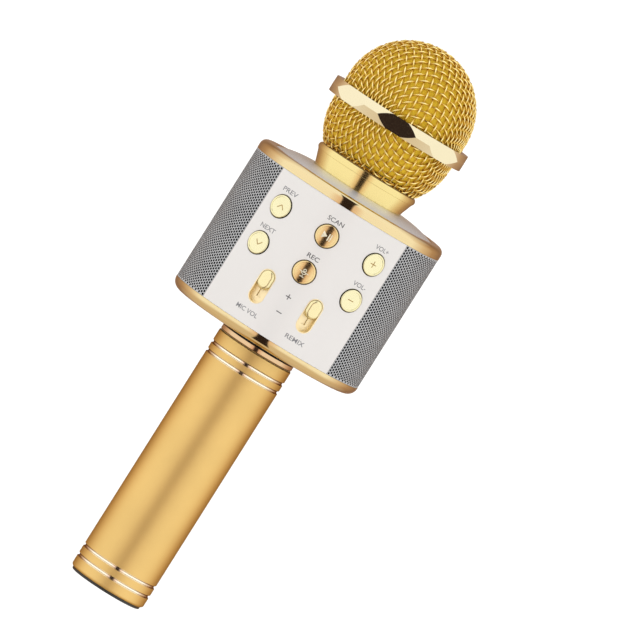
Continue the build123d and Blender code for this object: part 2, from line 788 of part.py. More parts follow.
def make_power_switch_body():
    with BuildPart() as power_switch_body:
        with BuildSketch(outward_plane(180, MAIN_BOARD_FACE + 0.05, SWITCH_HEIGHT)):
            Rectangle(12.0, 5.6)
        extrude(amount=6.0)
        with BuildSketch(outward_plane(180, MAIN_BOARD_FACE + 3.0, SWITCH_HEIGHT)):
            Rectangle(5.4, 2.2)
        extrude(amount=5.0, mode=Mode.SUBTRACT)
    save(power_switch_body, "power_switch_body")


def make_power_switch_knob():
    rest = 1.5
    with BuildPart() as power_switch_knob:
        with BuildSketch(outward_plane(180, 38.2, SWITCH_HEIGHT)):
            with Locations((rest, 0)):
                SlotOverall(5.6, 3.5)
        extrude(amount=4.0)
        outward = Axis((0, 0, SWITCH_HEIGHT), (0, 1, 0))
        fillet(power_switch_knob.edges().group_by(outward)[-1], 0.5)
        with BuildSketch(outward_plane(180, MAIN_BOARD_FACE + 3.4, SWITCH_HEIGHT)):
            with Locations((rest, 0)):
                Rectangle(2.0, 1.8)
        extrude(amount=38.3 - MAIN_BOARD_FACE - 3.4)
        with BuildSketch(outward_plane(180, 37.4, SWITCH_HEIGHT)):
            with Locations((rest, 0)):
                Rectangle(13.5, 5.6)
        extrude(amount=0.8)
        with BuildSketch(outward_plane(180, 41.45, SWITCH_HEIGHT)):
            with Locations((rest - 1.2, 0), (rest, 0), (rest + 1.2, 0)):
                Rectangle(0.4, 2.6)
        extrude(amount=2.0, mode=Mode.SUBTRACT)
    save(power_switch_knob, "power_switch_knob")


def make_usb_port():
    length = 40.9 - MAIN_BOARD_FACE - 0.05
    with BuildPart() as usb_port:
        with BuildSketch(outward_plane(180, MAIN_BOARD_FACE + 0.05, USB_HEIGHT)):
            Rectangle(13.2, 5.8)
        extrude(amount=length)
        with BuildSketch(outward_plane(180, MAIN_BOARD_FACE + 4.0, USB_HEIGHT)):
            Rectangle(12.5, 5.1)
        extrude(amount=length, mode=Mode.SUBTRACT)
        with BuildSketch(outward_plane(180, MAIN_BOARD_FACE + 3.9, USB_HEIGHT)):
            with Locations((0, 1.2)):
                Rectangle(11.0, 1.6)
        extrude(amount=10.0)
    save(usb_port, "usb_port")


def make_charge_port():
    length = 40.9 - MAIN_BOARD_FACE - 0.05
    with BuildPart() as charge_port:
        with BuildSketch(outward_plane(180, MAIN_BOARD_FACE + 0.05, CHARGE_HEIGHT)):
            Rectangle(8.0, 3.2)
        extrude(amount=length)
        with BuildSketch(outward_plane(180, MAIN_BOARD_FACE + 8.0, CHARGE_HEIGHT)):
            Rectangle(7.2, 2.4)
        extrude(amount=length, mode=Mode.SUBTRACT)
        with BuildSketch(outward_plane(180, MAIN_BOARD_FACE + 7.9, CHARGE_HEIGHT)):
            Rectangle(4.6, 0.7)
        extrude(amount=6.0)
    save(charge_port, "charge_port")


def make_audio_jack():
    with BuildPart() as audio_jack:
        with BuildSketch(outward_plane(180, MAIN_BOARD_FACE + 0.05, JACK_HEIGHT)):
            Rectangle(8.0, 6.4)
        extrude(amount=11.0)
        with BuildSketch(outward_plane(180, MAIN_BOARD_FACE + 11.0, JACK_HEIGHT)):
            Circle(JACK_RADIUS)
        extrude(amount=41.4 - MAIN_BOARD_FACE - 11.0)
        with BuildSketch(outward_plane(180, MAIN_BOARD_FACE + 1.5, JACK_HEIGHT)):
            Circle(JACK_BORE)
        extrude(amount=20.0, mode=Mode.SUBTRACT)
    save(audio_jack, "audio_jack")


# ---------------------------------------------------------------- head


def make_collar():
    bore = thread_profile(COLLAR_THREAD_BORE, COLLAR_THREAD_BORE + THREAD_DEPTH, 186.2, COLLAR_TOP)
    with BuildPart() as collar:
        with BuildSketch(Plane.XZ):
            with BuildLine():
                Polyline(
                    (21.3, COLLAR_TOP),
                    *reversed(bore),
                    (COLLAR_THREAD_BORE, 185.2),
                    (8.0, 185.2),
                    (8.0, COLLAR_LOW),
                    (COLLAR_FOOT, COLLAR_LOW),
                )
                foot = Spline(
                    (COLLAR_FOOT, COLLAR_LOW),
                    (19.75, 185.3),
                    (20.45, 187.3),
                    (COLLAR_LIP - 0.5, 190.0),
                    tangents=((0, 1), (1, 2.2)),
                )
                ThreePointArc(foot @ 1, (COLLAR_LIP, 191.0), (21.3, COLLAR_TOP))
            make_face()
        revolve(axis=Axis.Z)
        with BuildSketch(Plane.XY.offset(COLLAR_LOW - 1.0)):
            with PolarLocations(CLAMP_SCREW_CIRCLE, 3, 30):
                Circle(1.4)
        extrude(amount=5.0, mode=Mode.SUBTRACT)
    save(collar, "collar")


def make_capsule_post():
    with BuildPart() as capsule_post:
        with BuildSketch(Plane.XZ):
            with BuildLine():
                Polyline(
                    (5.5, 185.25), (14.8, 185.25), (14.8, 187.0), (8.0, 187.0), (7.5, 190.0),
                    (7.5, 203.5), (11.0, 205.5), (11.0, 207.0), (5.5, 207.0),
                    close=True,
                )
            make_face()
        revolve(axis=Axis.Z)
        with BuildSketch(Plane.XY.offset(184.0)):
            with PolarLocations(CLAMP_SCREW_CIRCLE, 3, 30):
                Circle(1.4)
        extrude(amount=4.0, mode=Mode.SUBTRACT)
    save(capsule_post, "capsule_post")


def make_clamp_screws():
    with BuildPart() as clamp_screws:
        with BuildSketch(Plane.XY.offset(175.0)):
            with PolarLocations(CLAMP_SCREW_CIRCLE, 3, 30):
                Circle(1.25)
        extrude(amount=187.1 - 175.0)
        with BuildSketch(Plane.XY.offset(187.05)):
            with PolarLocations(CLAMP_SCREW_CIRCLE, 3, 30):
                Circle(2.3)
        extrude(amount=1.5)
        with BuildSketch(Plane.XY.offset(187.95)):
            with PolarLocations(CLAMP_SCREW_CIRCLE, 3, 30):
                Rectangle(2.8, 0.6)
                Rectangle(0.6, 2.8)
        extrude(amount=1.0, mode=Mode.SUBTRACT)
    save(clamp_screws, "clamp_screws")


def make_capsule_cradle():
    with BuildPart() as capsule_cradle:
        with BuildSketch(Plane.XZ):
            with BuildLine():
                Polyline(
                    (4.0, 207.05), (11.0, 207.05), (11.8, 208.0), (11.8, 214.2), (11.0, 215.0),
                    (9.05, 215.0), (9.05, 208.6), (4.0, 208.6),
                    close=True,
                )
            make_face()
        revolve(axis=Axis.Z)
    save(capsule_cradle, "capsule_cradle")


def make_mic_capsule():
    with BuildPart() as mic_capsule:
        with BuildSketch(Plane.XY.offset(208.65)):
            Circle(9.0)
        extrude(amount=12.5)
        fillet(mic_capsule.edges().group_by(Axis.Z)[-1], 1.0)
        with BuildSketch(Plane.XY.offset(220.6)):
            with PolarLocations(4.8, 8):
                Circle(0.9)
            Circle(0.9)
        extrude(amount=2.0, mode=Mode.SUBTRACT)
    save(mic_capsule, "mic_capsule")


def make_head_gasket():
    with BuildPart() as head_gasket:
        with BuildSketch(Plane.XY.offset(COLLAR_TOP + 0.03)):
            Circle(20.2)
            Circle(COLLAR_THREAD_BORE + 0.1, mode=Mode.SUBTRACT)
        extrude(amount=0.36)
    save(head_gasket, "head_gasket")


def make_grille_base_ring():
    thread = thread_profile(HEAD_THREAD_RADIUS, HEAD_THREAD_RADIUS - THREAD_DEPTH, 188.8, COLLAR_TOP)
    inner = BALL_RADIUS - SHELL - 0.05
    seat_low = sphere_radius(inner, LOWER_BALL_CENTRE, BOWL_LOW)
    seat_top = sphere_radius(inner, LOWER_BALL_CENTRE, BOWL_LOW + 1.4)
    with BuildPart() as grille_base_ring:
        with BuildSketch(Plane.XZ):
            with BuildLine():
                Polyline(
                    (15.6, 188.8),
                    *thread,
                    (HEAD_THREAD_RADIUS, BOWL_LOW),
                    (seat_low, BOWL_LOW),
                    (seat_top, BOWL_LOW + 1.4),
                    (17.0, BOWL_LOW + 1.4),
                    (15.6, 192.0),
                    close=True,
                )
            make_face()
        revolve(axis=Axis.Z)
    save(grille_base_ring, "grille_base_ring")


def make_grille_lower():
    inner = BALL_RADIUS - SHELL
    centre = LOWER_BALL_CENTRE
    mid = 199.5
    top = HEAD_SPLIT - 0.2
    with BuildPart() as grille_lower:
        with BuildSketch(Plane.XZ):
            with BuildLine():
                outside = ThreePointArc(
                    (sphere_radius(BALL_RADIUS, centre, BOWL_LOW), BOWL_LOW),
                    (sphere_radius(BALL_RADIUS, centre, mid), mid),
                    (BALL_RADIUS, centre),
                )
                Polyline((BALL_RADIUS, centre), (BALL_RADIUS, top), (inner, top), (inner, centre))
                inside = ThreePointArc(
                    (inner, centre),
                    (sphere_radius(inner, centre, mid), mid),
                    (sphere_radius(inner, centre, BOWL_LOW), BOWL_LOW),
                )
                Line(inside @ 1, outside @ 0)
            make_face()
        revolve(axis=Axis.Z)
    save(grille_lower, "grille_lower")


def make_grille_upper():
    inner = BALL_RADIUS - SHELL
    centre = UPPER_BALL_CENTRE
    low = HEAD_SPLIT + 0.2
    diagonal = math.sqrt(0.5)
    with BuildPart() as grille_upper:
        with BuildSketch(Plane.XZ):
            with BuildLine():
                Polyline((inner, centre), (inner, low), (BALL_RADIUS, low), (BALL_RADIUS, centre))
                ThreePointArc(
                    (BALL_RADIUS, centre),
                    (BALL_RADIUS * diagonal, centre + BALL_RADIUS * diagonal),
                    (0, centre + BALL_RADIUS),
                )
                Line((0, centre + BALL_RADIUS), (0, centre + inner))
                ThreePointArc(
                    (0, centre + inner),
                    (inner * diagonal, centre + inner * diagonal),
                    (inner, centre),
                )
            make_face()
        revolve(axis=Axis.Z)
    save(grille_upper, "grille_upper")


def make_facet_ring():
    middle = (RING_LOW + RING_TOP) / 2
    with BuildPart() as facet_ring:
        with BuildSketch(Plane.XZ):
            with BuildLine():
                Polyline(
                    (BALL_RADIUS + 0.04, RING_LOW),
                    (RING_EDGE, RING_LOW),
                    (RING_RIDGE, middle),
                    (RING_EDGE, RING_TOP),
                    (BALL_RADIUS + 0.04, RING_TOP),
                    close=True,
                )
            make_face()
        revolve(axis=Axis.Z)
        with BuildSketch(Plane.XY.offset(RING_LOW - 1.0)):
            RegularPolygon(RING_FLAT, 8, major_radius=False, rotation=22.5)
        extrude(amount=RING_TOP - RING_LOW + 2.0, mode=Mode.INTERSECT)
    save(facet_ring, "facet_ring")


def make_windscreen_foam():
    low = 194.6
    mid = 200.5
    lower = LOWER_BALL_CENTRE
    upper = UPPER_BALL_CENTRE
    diagonal = math.sqrt(0.5)
    with BuildPart() as windscreen_foam:
        with BuildSketch(Plane.XZ):
            with BuildLine():
                outer = ThreePointArc(
                    (sphere_radius(FOAM_RADIUS, lower, low), low),
                    (sphere_radius(FOAM_RADIUS, lower, mid), mid),
                    (FOAM_RADIUS, lower),
                )
                Line((FOAM_RADIUS, lower), (FOAM_RADIUS, upper))
                ThreePointArc(
                    (FOAM_RADIUS, upper),
                    (FOAM_RADIUS * diagonal, upper + FOAM_RADIUS * diagonal),
                    (0, upper + FOAM_RADIUS),
                )
                Line((0, upper + FOAM_RADIUS), (0, upper + FOAM_INNER))
                ThreePointArc(
                    (0, upper + FOAM_INNER),
                    (FOAM_INNER * diagonal, upper + FOAM_INNER * diagonal),
                    (FOAM_INNER, upper),
                )
                Line((FOAM_INNER, upper), (FOAM_INNER, lower))
                inner = ThreePointArc(
                    (FOAM_INNER, lower),
                    (sphere_radius(FOAM_INNER, lower, mid), mid),
                    (sphere_radius(FOAM_INNER, lower, low), low),
                )
                Line(inner @ 1, outer @ 0)
            make_face()
        revolve(axis=Axis.Z)
    save(windscreen_foam, "windscreen_foam")


# ---------------------------------------------------------------- assembly

make_handle_tube()
make_tail_plug()
make_thread_insert()
make_handle_seal()
make_neck_ring()
make_neck_spigot()
make_spigot_screws()
make_battery_tray()
make_battery_cell()
make_battery_spring()
make_battery_contact()
make_tray_screws()
make_bottom_band()
make_bottom_cover()
make_cover_screws()
make_front_panel()
make_back_panel()
make_side_grille(-1, "side_grille_left")
make_side_grille(1, "side_grille_right")
make_top_band()
make_top_cover()
make_chassis()
make_key_board()
make_tact_switches()
make_fader_bodies()
make_main_board()
make_speaker(-1, "left")
make_speaker(1, "right")
make_speaker_screws()
for name, (button_angle, button_height) in FRONT_BUTTONS.items():
    make_button(name, button_angle, button_height)
make_slider("slider_left", -SLIDER_ANGLE)
make_slider("slider_right", SLIDER_ANGLE)
make_slider_tray("slider_tray_left", -SLIDER_ANGLE)
make_slider_tray("slider_tray_right", SLIDER_ANGLE)
make_power_switch_body()
make_power_switch_knob()
make_usb_port()
make_charge_port()
make_audio_jack()
make_collar()
make_capsule_post()
make_clamp_screws()
make_capsule_cradle()
make_mic_capsule()
make_head_gasket()
make_grille_base_ring()
make_grille_lower()
make_grille_upper()
make_facet_ring()
make_windscreen_foam()
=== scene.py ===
import json
import math

import bpy
import numpy as np
from mathutils import Matrix, Vector


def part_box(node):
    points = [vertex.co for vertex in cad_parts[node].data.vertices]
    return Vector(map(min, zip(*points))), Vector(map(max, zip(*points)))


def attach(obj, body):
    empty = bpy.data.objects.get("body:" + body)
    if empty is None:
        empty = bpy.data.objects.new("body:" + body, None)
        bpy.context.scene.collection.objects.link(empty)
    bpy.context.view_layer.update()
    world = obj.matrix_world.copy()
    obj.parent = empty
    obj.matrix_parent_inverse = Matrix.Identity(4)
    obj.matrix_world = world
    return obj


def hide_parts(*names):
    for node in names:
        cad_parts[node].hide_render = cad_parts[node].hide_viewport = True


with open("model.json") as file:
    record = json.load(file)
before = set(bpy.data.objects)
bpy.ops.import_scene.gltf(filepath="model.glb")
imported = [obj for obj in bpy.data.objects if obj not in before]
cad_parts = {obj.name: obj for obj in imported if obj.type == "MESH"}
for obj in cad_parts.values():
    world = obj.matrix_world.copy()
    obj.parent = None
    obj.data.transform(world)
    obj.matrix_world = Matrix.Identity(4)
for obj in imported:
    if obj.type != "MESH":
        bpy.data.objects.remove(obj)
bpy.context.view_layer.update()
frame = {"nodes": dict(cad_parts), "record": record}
MM = 0.001


# ---------------------------------------------------------------- node trees


class Nodes:
    """A cleared node tree with short calls."""

    def __init__(self, tree):
        self.tree = tree
        tree.nodes.clear()

    def add(self, kind, inputs=None, **settings):
        """A new node; each input is a socket to link or a value to set."""
        node = self.tree.nodes.new(kind)
        for key, value in settings.items():
            setattr(node, key, value)
        self.feed(node, inputs or {})
        return node

    def feed(self, node, inputs):
        for key, value in inputs.items():
            if isinstance(value, bpy.types.NodeSocket):
                self.tree.links.new(value, node.inputs[key])
            else:
                node.inputs[key].default_value = value

    def split(self, vector):
        return self.add("ShaderNodeSeparateXYZ", {"Vector": vector}).outputs

    def math(self, operation, first, second=0.0):
        return self.add("ShaderNodeMath", {0: first, 1: second}, operation=operation).outputs[0]

    def ranged(self, value, low, high, start=0.3, end=0.7):
        bounds = {"From Min": start, "From Max": end, "To Min": low, "To Max": high}
        return self.add("ShaderNodeMapRange", {"Value": value, **bounds}).outputs["Result"]

    def ramp(self, value, stops):
        node = self.add("ShaderNodeValToRGB", {"Fac": value})
        elements = node.color_ramp.elements
        while len(elements) < len(stops):
            elements.new(0.5)
        for element, (position, color) in zip(elements, stops):
            element.position = position
            element.color = (*color, 1)
        return node.outputs["Color"]

    def mix(self, kind, factor, first, second):
        node = self.add("ShaderNodeMix", data_type=kind)
        self.feed(node, {"Factor": factor, "A": first, "B": second})
        return node.outputs["Result"]

    def radius(self, spot):
        """Distance from the z axis."""
        across = self.math("MULTIPLY", spot["X"], spot["X"])
        deep = self.math("MULTIPLY", spot["Y"], spot["Y"])
        return self.math("SQRT", self.math("ADD", across, deep))


class Finish(Nodes):
    """A material on a principled shader."""

    def __init__(self, name):
        self.material = bpy.data.materials.new(name)
        self.material.use_nodes = True
        super().__init__(self.material.node_tree)
        self.shader = self.add("ShaderNodeBsdfPrincipled")
        self.add("ShaderNodeOutputMaterial", {"Surface": self.shader.outputs["BSDF"]})
        self.place = self.add("ShaderNodeTexCoord").outputs

    def noise(self, scale, detail=3.0, stretch=(1, 1, 1)):
        spot = self.add("ShaderNodeMapping", {"Scale": stretch, "Vector": self.place["Object"]})
        inputs = {"Scale": scale, "Detail": detail, "Vector": spot.outputs["Vector"]}
        return self.add("ShaderNodeTexNoise", inputs).outputs["Fac"]

    def bump(self, height, strength, distance):
        """Bump on the shader, on top of any that is there already."""
        inputs = {"Height": height, "Strength": strength, "Distance": distance}
        earlier = self.shader.inputs["Normal"].links
        if earlier:
            inputs["Normal"] = earlier[0].from_socket
        node = self.add("ShaderNodeBump", inputs)
        self.feed(self.shader, {"Normal": node.outputs["Normal"]})

    def made_of(self, name):
        """The socket that feeds one of the shader's inputs."""
        return self.shader.inputs[name].links[0].from_socket


# ---------------------------------------------------------------- materials

GOLD = (0.73, 0.60, 0.34)
PALE_GOLD = (0.77, 0.70, 0.49)
HANDLE_GOLD = (0.81, 0.565, 0.215)
GROOVE_METAL = (0.92, 0.86, 0.73, 1)
GROOVE_ROUGHNESS = 0.14
GRAZING_GOLD = (0.42, 0.24, 0.10, 1)
CROWN = 28.0
COLLAR_KEEP = 0.25
COLLAR_LEAN = 0.03
FLANK_FADE = (0.6, 0.85)


def shade(color, factor):
    return tuple(min(1.0, c * factor) for c in color)


def surface(name, color, roughness, metallic, mottle, grain, stretch=(1, 1, 1), coat=0.0):
    """A finish with a mottled colour, an uneven gloss and a fine grain."""
    finish = Finish(name)
    scale, depth = mottle
    patches = finish.noise(scale, 4.0, stretch)
    tint = finish.ramp(patches, [(0.35, shade(color, 1 - depth)), (0.65, shade(color, 1 + depth))])
    scale, strength, distance = grain
    fine = finish.noise(scale, 3.0, stretch)
    finish.feed(finish.shader, {
        "Base Color": tint,
        "Roughness": finish.ranged(fine, *roughness),
        "Metallic": metallic,
        "Coat Weight": coat,
    })
    finish.bump(fine, strength, distance)
    return finish


def sleeve():
    """Satin gold sleeve; the floors and bevels of its grooves are bright bare metal."""
    finish = surface(
        "satin_gold_sleeve", HANDLE_GOLD, (0.43, 0.50), 1.0, (45.0, 0.03), (3200.0, 0.10, 0.00002)
    )
    spot = finish.split(finish.place["Object"])
    radius = finish.radius(spot)
    low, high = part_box("handle_tube")
    below_skin = finish.math("LESS_THAN", radius, high.x - 0.06 * MM)
    above_bore = finish.math("GREATER_THAN", radius, high.x - 0.9 * MM)
    above_foot = finish.math("GREATER_THAN", spot["Z"], low.z + 3.0 * MM)
    below_rim = finish.math("LESS_THAN", spot["Z"], high.z - 2.0 * MM)
    groove = finish.math(
        "MULTIPLY",
        finish.math("MULTIPLY", below_skin, above_bore),
        finish.math("MULTIPLY", above_foot, below_rim),
    )
    finish.feed(finish.shader, {
        "Base Color": finish.mix("RGBA", groove, finish.made_of("Base Color"), GROOVE_METAL),
        "Roughness": finish.mix("FLOAT", groove, finish.made_of("Roughness"), GROOVE_ROUGHNESS),
        "Specular Tint": GRAZING_GOLD,
    })
    return finish


def foam_cells():
    finish = Finish("yellow_foam_cells")
    cells = finish.add("ShaderNodeTexVoronoi", {"Scale": 1500.0, "Vector": finish.place["Object"]})
    distance = cells.outputs["Distance"]
    yellows = [(0.3, (0.84, 0.54, 0.022)), (0.7, (0.95, 0.64, 0.035))]
    finish.feed(finish.shader, {
        "Base Color": finish.ramp(finish.noise(220.0, 4.0), yellows),
        "Roughness": finish.ranged(distance, 0.75, 0.95, 0.0, 0.6),
    })
    finish.bump(distance, 0.5, 0.0002)
    return finish


def wire_plate():
    """Gold wire, painted lighter where it crosses over its neighbours and deep amber where it dips
    under: a painted highlight on the crests and painted shade in the dips.
    """
    finish = Finish("gold_wire_plate")
    crest = finish.add("ShaderNodeAttribute", attribute_name="crest").outputs["Fac"]
    patches = finish.noise(300.0, 4.0)
    raised = finish.math("ADD", crest, finish.math("MULTIPLY", patches, 0.4))
    # The crest lift sets a painted highlight on each crossing and painted shade where the wire dips
    # under; the noise adds random tone.
    tint = finish.ramp(finish.ranged(raised, 0.0, 1.0, -0.8, 1.15), [
        (0.0, (0.46, 0.24, 0.025)),
        (0.45, (0.74, 0.48, 0.09)),
        (0.75, (0.90, 0.68, 0.21)),
        (1.0, (1.0, 0.86, 0.40)),
    ])
    fine = finish.noise(3000.0)
    roughness = finish.ranged(fine, 0.16, 0.24)
    finish.feed(finish.shader, {"Base Color": tint, "Roughness": roughness, "Metallic": 1.0})
    finish.bump(fine, 0.08, 0.00002)
    return finish


def crowned(finish):
    """Shades a flat button face as if it were gently crowned from side to side."""
    spot = finish.split(finish.place["Object"])
    square = finish.math("MULTIPLY", spot["X"], spot["X"])
    finish.bump(finish.math("MULTIPLY", square, -CROWN), 1.0, 1.0)
    return finish


def turned(finish, keep=1.0, lean=0.0):
    """Shades a part turned about the drum's axis by its own radius, free of mesh facets.

    keep scales how far a flank leans up or down, and lean is added to it; level faces stay.
    """
    spot = finish.split(finish.place["Object"])
    facing = finish.split(finish.place["Normal"])
    along_x = finish.math("MULTIPLY", spot["X"], facing["X"])
    along_y = finish.math("MULTIPLY", spot["Y"], facing["Y"])
    outward = finish.math("SIGN", finish.math("ADD", along_x, along_y))
    steep = finish.math("ABSOLUTE", facing["Z"])
    scale = finish.ranged(steep, keep, 1.0, *FLANK_FADE)
    tilt = finish.ranged(steep, lean, 0.0, *FLANK_FADE)
    rise = finish.math("ADD", finish.math("MULTIPLY", facing["Z"], scale), tilt)
    level = finish.math("SQRT", finish.math("SUBTRACT", 1.0, finish.math("MULTIPLY", rise, rise)))
    spoke = finish.math("DIVIDE", finish.math("MULTIPLY", level, outward), finish.radius(spot))
    joined = finish.add("ShaderNodeCombineXYZ", {
        "X": finish.math("MULTIPLY", spot["X"], spoke),
        "Y": finish.math("MULTIPLY", spot["Y"], spoke),
        "Z": rise,
    })
    grain = finish.made_of("Normal").node
    finish.feed(grain, {"Normal": joined.outputs["Vector"]})
    return finish


def circuit_board():
    finish = Finish("green_circuit_board")
    traces = finish.add("ShaderNodeTexBrick", {
        "Scale": 220.0,
        "Mortar Size": 0.06,
        "Color1": (0.015, 0.10, 0.035, 1),
        "Color2": (0.02, 0.13, 0.045, 1),
        "Mortar": (0.04, 0.22, 0.08, 1),
        "Vector": finish.place["Object"],
    }).outputs
    roughness = finish.ranged(finish.noise(900.0), 0.25, 0.4)
    finish.feed(finish.shader, {"Base Color": traces["Color"], "Roughness": roughness})
    finish.bump(traces["Fac"], 0.3, 0.00005)
    return finish


METAL_SPOTS = (30.0, 0.02)
BUTTON_SPOTS = (90.0, 0.02)
STEEL_SPOTS = (90.0, 0.05)
INK_SPOTS = (900.0, 0.15)
INK_GRAIN = (3500.0, 0.2, 0.00001)
POLISH_GRAIN = (2600.0, 0.04, 0.00001)
SMOOTH_GRAIN = (2600.0, 0.03, 0.00001)
CUT_GRAIN = (3500.0, 0.2, 0.00002)
SHELL_GRAIN = (1800.0, 0.05, 0.00002)

MADE = {
    "satin_gold": sleeve(),
    "polished_gold": surface(
        "polished_gold_plate", GOLD, (0.05, 0.09), 1.0, METAL_SPOTS, POLISH_GRAIN
    ),
    "band_gold": turned(surface(
        "polished_gold_band", GOLD, (0.05, 0.09), 1.0, METAL_SPOTS, POLISH_GRAIN
    )),
    "ring_gold": surface(
        "pale_gold_facets", PALE_GOLD, (0.07, 0.11), 1.0, METAL_SPOTS, SMOOTH_GRAIN
    ),
    "collar_gold": turned(surface(
        "satin_gold_collar", (0.765, 0.64, 0.285), (0.12, 0.17), 1.0, METAL_SPOTS, SMOOTH_GRAIN
    ), COLLAR_KEEP, COLLAR_LEAN),
    "neck_gold": turned(surface(
        "rose_gold_ring", (0.67, 0.47, 0.28), (0.10, 0.15), 1.0, METAL_SPOTS, POLISH_GRAIN
    )),
    "button_gold": surface(
        "button_gold_plate", (0.80, 0.76, 0.49), (0.13, 0.18), 1.0, BUTTON_SPOTS,
        (2600.0, 0.02, 0.00001),
    ),
    "centre_button_gold": crowned(surface(
        "crowned_button_plate", (0.76, 0.60, 0.31), (0.12, 0.18), 1.0, (90.0, 0.03), SMOOTH_GRAIN
    )),
    "knob_gold": surface(
        "slider_knob_plate", (0.84, 0.76, 0.45), (0.22, 0.28), 1.0, BUTTON_SPOTS, SMOOTH_GRAIN
    ),
    "tray_gold": surface(
        "satin_tray_gold", (1.0, 0.86, 0.56), (0.38, 0.46), 1.0, BUTTON_SPOTS,
        (3000.0, 0.08, 0.00001),
    ),
    "gold_wire": wire_plate(),
    "yellow_foam": foam_cells(),
    "pearl_plastic": surface(
        "pearl_white_plastic", (0.87, 0.835, 0.805), (0.28, 0.34), 0.0, (25.0, 0.008),
        SHELL_GRAIN, coat=0.25,
    ),
    "white_plastic": surface(
        "cool_white_plastic", (0.76, 0.765, 0.80), (0.22, 0.28), 0.0, (25.0, 0.008),
        SHELL_GRAIN, coat=0.3,
    ),
    "black_plastic": surface(
        "black_plastic_skin", (0.022, 0.021, 0.020), (0.38, 0.5), 0.0, (60.0, 0.15),
        (2200.0, 0.25, 0.00005),
    ),
    "black_rubber": surface(
        "black_rubber_skin", (0.018, 0.018, 0.018), (0.6, 0.75), 0.0, (60.0, 0.15),
        (1500.0, 0.3, 0.00006),
    ),
    "silver_mesh": surface(
        "silver_sheet_paint", (0.53, 0.535, 0.545), (0.34, 0.44), 0.0, (120.0, 0.05),
        (2600.0, 0.12, 0.00003),
    ),
    "steel": surface(
        "bright_steel", (0.62, 0.61, 0.60), (0.2, 0.32), 1.0, STEEL_SPOTS, (2200.0, 0.1, 0.00003)
    ),
    "black_steel": surface(
        "black_coated_steel", (0.03, 0.03, 0.032), (0.3, 0.42), 0.4, (90.0, 0.1),
        (2200.0, 0.15, 0.00004),
    ),
    "brass": surface(
        "turned_brass", (0.72, 0.50, 0.20), (0.2, 0.3), 1.0, STEEL_SPOTS,
        (1200.0, 0.1, 0.00003), stretch=(1, 1, 8),
    ),
    "board": circuit_board(),
    "cell_wrap": surface(
        "blue_cell_wrap", (0.05, 0.16, 0.42), (0.2, 0.3), 0.0, (80.0, 0.05),
        (700.0, 0.1, 0.00005), coat=0.4,
    ),
    "paper": surface(
        "pressed_paper_cone", (0.03, 0.03, 0.03), (0.7, 0.85), 0.0, (400.0, 0.25),
        (1800.0, 0.5, 0.0001),
    ),
    "capsule_metal": surface(
        "capsule_can", (0.66, 0.66, 0.66), (0.18, 0.28), 1.0, STEEL_SPOTS, (1600.0, 0.1, 0.00003)
    ),
    "speaker_cloth": surface(
        "black_speaker_cloth", (0.012, 0.012, 0.012), (0.85, 0.95), 0.0, (500.0, 0.3),
        (3500.0, 0.6, 0.0001),
    ),
    "grey_ink": surface(
        "grey_print_ink", (0.26, 0.255, 0.265), (0.5, 0.6), 0.0, INK_SPOTS, INK_GRAIN
    ),
    "dark_ink": surface(
        "dark_print_ink", (0.11, 0.105, 0.11), (0.5, 0.6), 0.0, INK_SPOTS, INK_GRAIN
    ),
    "engraving": surface(
        "engraved_gold", (0.42, 0.27, 0.10), (0.35, 0.5), 0.9, INK_SPOTS, CUT_GRAIN
    ),
    "pale_engraving": surface(
        "pale_engraved_gold", (0.86, 0.78, 0.58), (0.45, 0.6), 0.0, INK_SPOTS, CUT_GRAIN
    ),
    "amber_rubber": surface(
        "amber_seal_rubber", (0.42, 0.25, 0.07), (0.4, 0.5), 0.0, (300.0, 0.15),
        (2500.0, 0.2, 0.00003),
    ),
    # Dark brown for the rings in the button holes: painted shade for the gap round each button.
    "dark_gap": surface(
        "gap_shade_ring", (0.15, 0.115, 0.06), (0.5, 0.6), 0.0, (300.0, 0.15),
        (2500.0, 0.2, 0.00003),
    ),
}
FINISH = {key: finish.material for key, finish in MADE.items()}

# CAD nodes that take another finish than the one their material slot names.
NODE_FINISH = {
    "collar": "collar_gold",
    "top_band": "band_gold",
    "bottom_band": "band_gold",
    "facet_ring": "ring_gold",
    "neck_ring": "neck_gold",
    "head_gasket": "amber_rubber",
    "handle_seal": "amber_rubber",
    "slider_left": "knob_gold",
    "slider_right": "knob_gold",
    "slider_tray_left": "tray_gold",
    "slider_tray_right": "tray_gold",
    "button_play": "centre_button_gold",
    "button_record": "centre_button_gold",
}
SLOT_OF = {item["node"]: item["material_slot"] for item in frame["record"]["subparts"]}
for node, thing in frame["nodes"].items():
    usual = "button_gold" if node.startswith("button_") else SLOT_OF[node]
    material = FINISH[NODE_FINISH.get(node, usual)]
    if not thing.data.materials:
        thing.data.materials.append(material)
    for index in range(len(thing.data.materials)):
        thing.data.materials[index] = material


# ---------------------------------------------------------------- mesh helpers


def piece(name, vertices, faces, finishes, body, smooth=True, indices=None):
    """A mesh piece, its points in millimetres in the row frame, riding on a CAD body."""
    mesh = bpy.data.meshes.new(name)
    mesh.from_pydata([tuple(c * MM for c in v) for v in vertices], [], faces)
    for finish in finishes:
        mesh.materials.append(FINISH[finish])
    if indices is not None:
        mesh.polygons.foreach_set("material_index", indices)
    if smooth:
        mesh.polygons.foreach_set("use_smooth", [True] * len(mesh.polygons))
    mesh.validate()
    mesh.update()
    thing = bpy.data.objects.new(name, mesh)
    bpy.context.scene.collection.objects.link(thing)
    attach(thing, body)
    return thing


def body_of_node(node):
    for body, members in frame["record"]["behaviour"]["bodies"].items():
        if node in members:
            return body
    raise KeyError(node)


def node_box(node):
    """A node's corners in millimetres."""
    low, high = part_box(node)
    return [c / MM for c in low], [c / MM for c in high]


def facing_place(angle, height, face):
    """Places plan points on a flat that faces out of the drum at an angle and height."""
    turn = math.radians(angle)

    def place(x, y, lift):
        radius = face + lift
        return (
            radius * math.sin(turn) + x * math.cos(turn),
            -radius * math.cos(turn) + x * math.sin(turn),
            height + y,
        )

    return place


# ---------------------------------------------------------------- woven grille

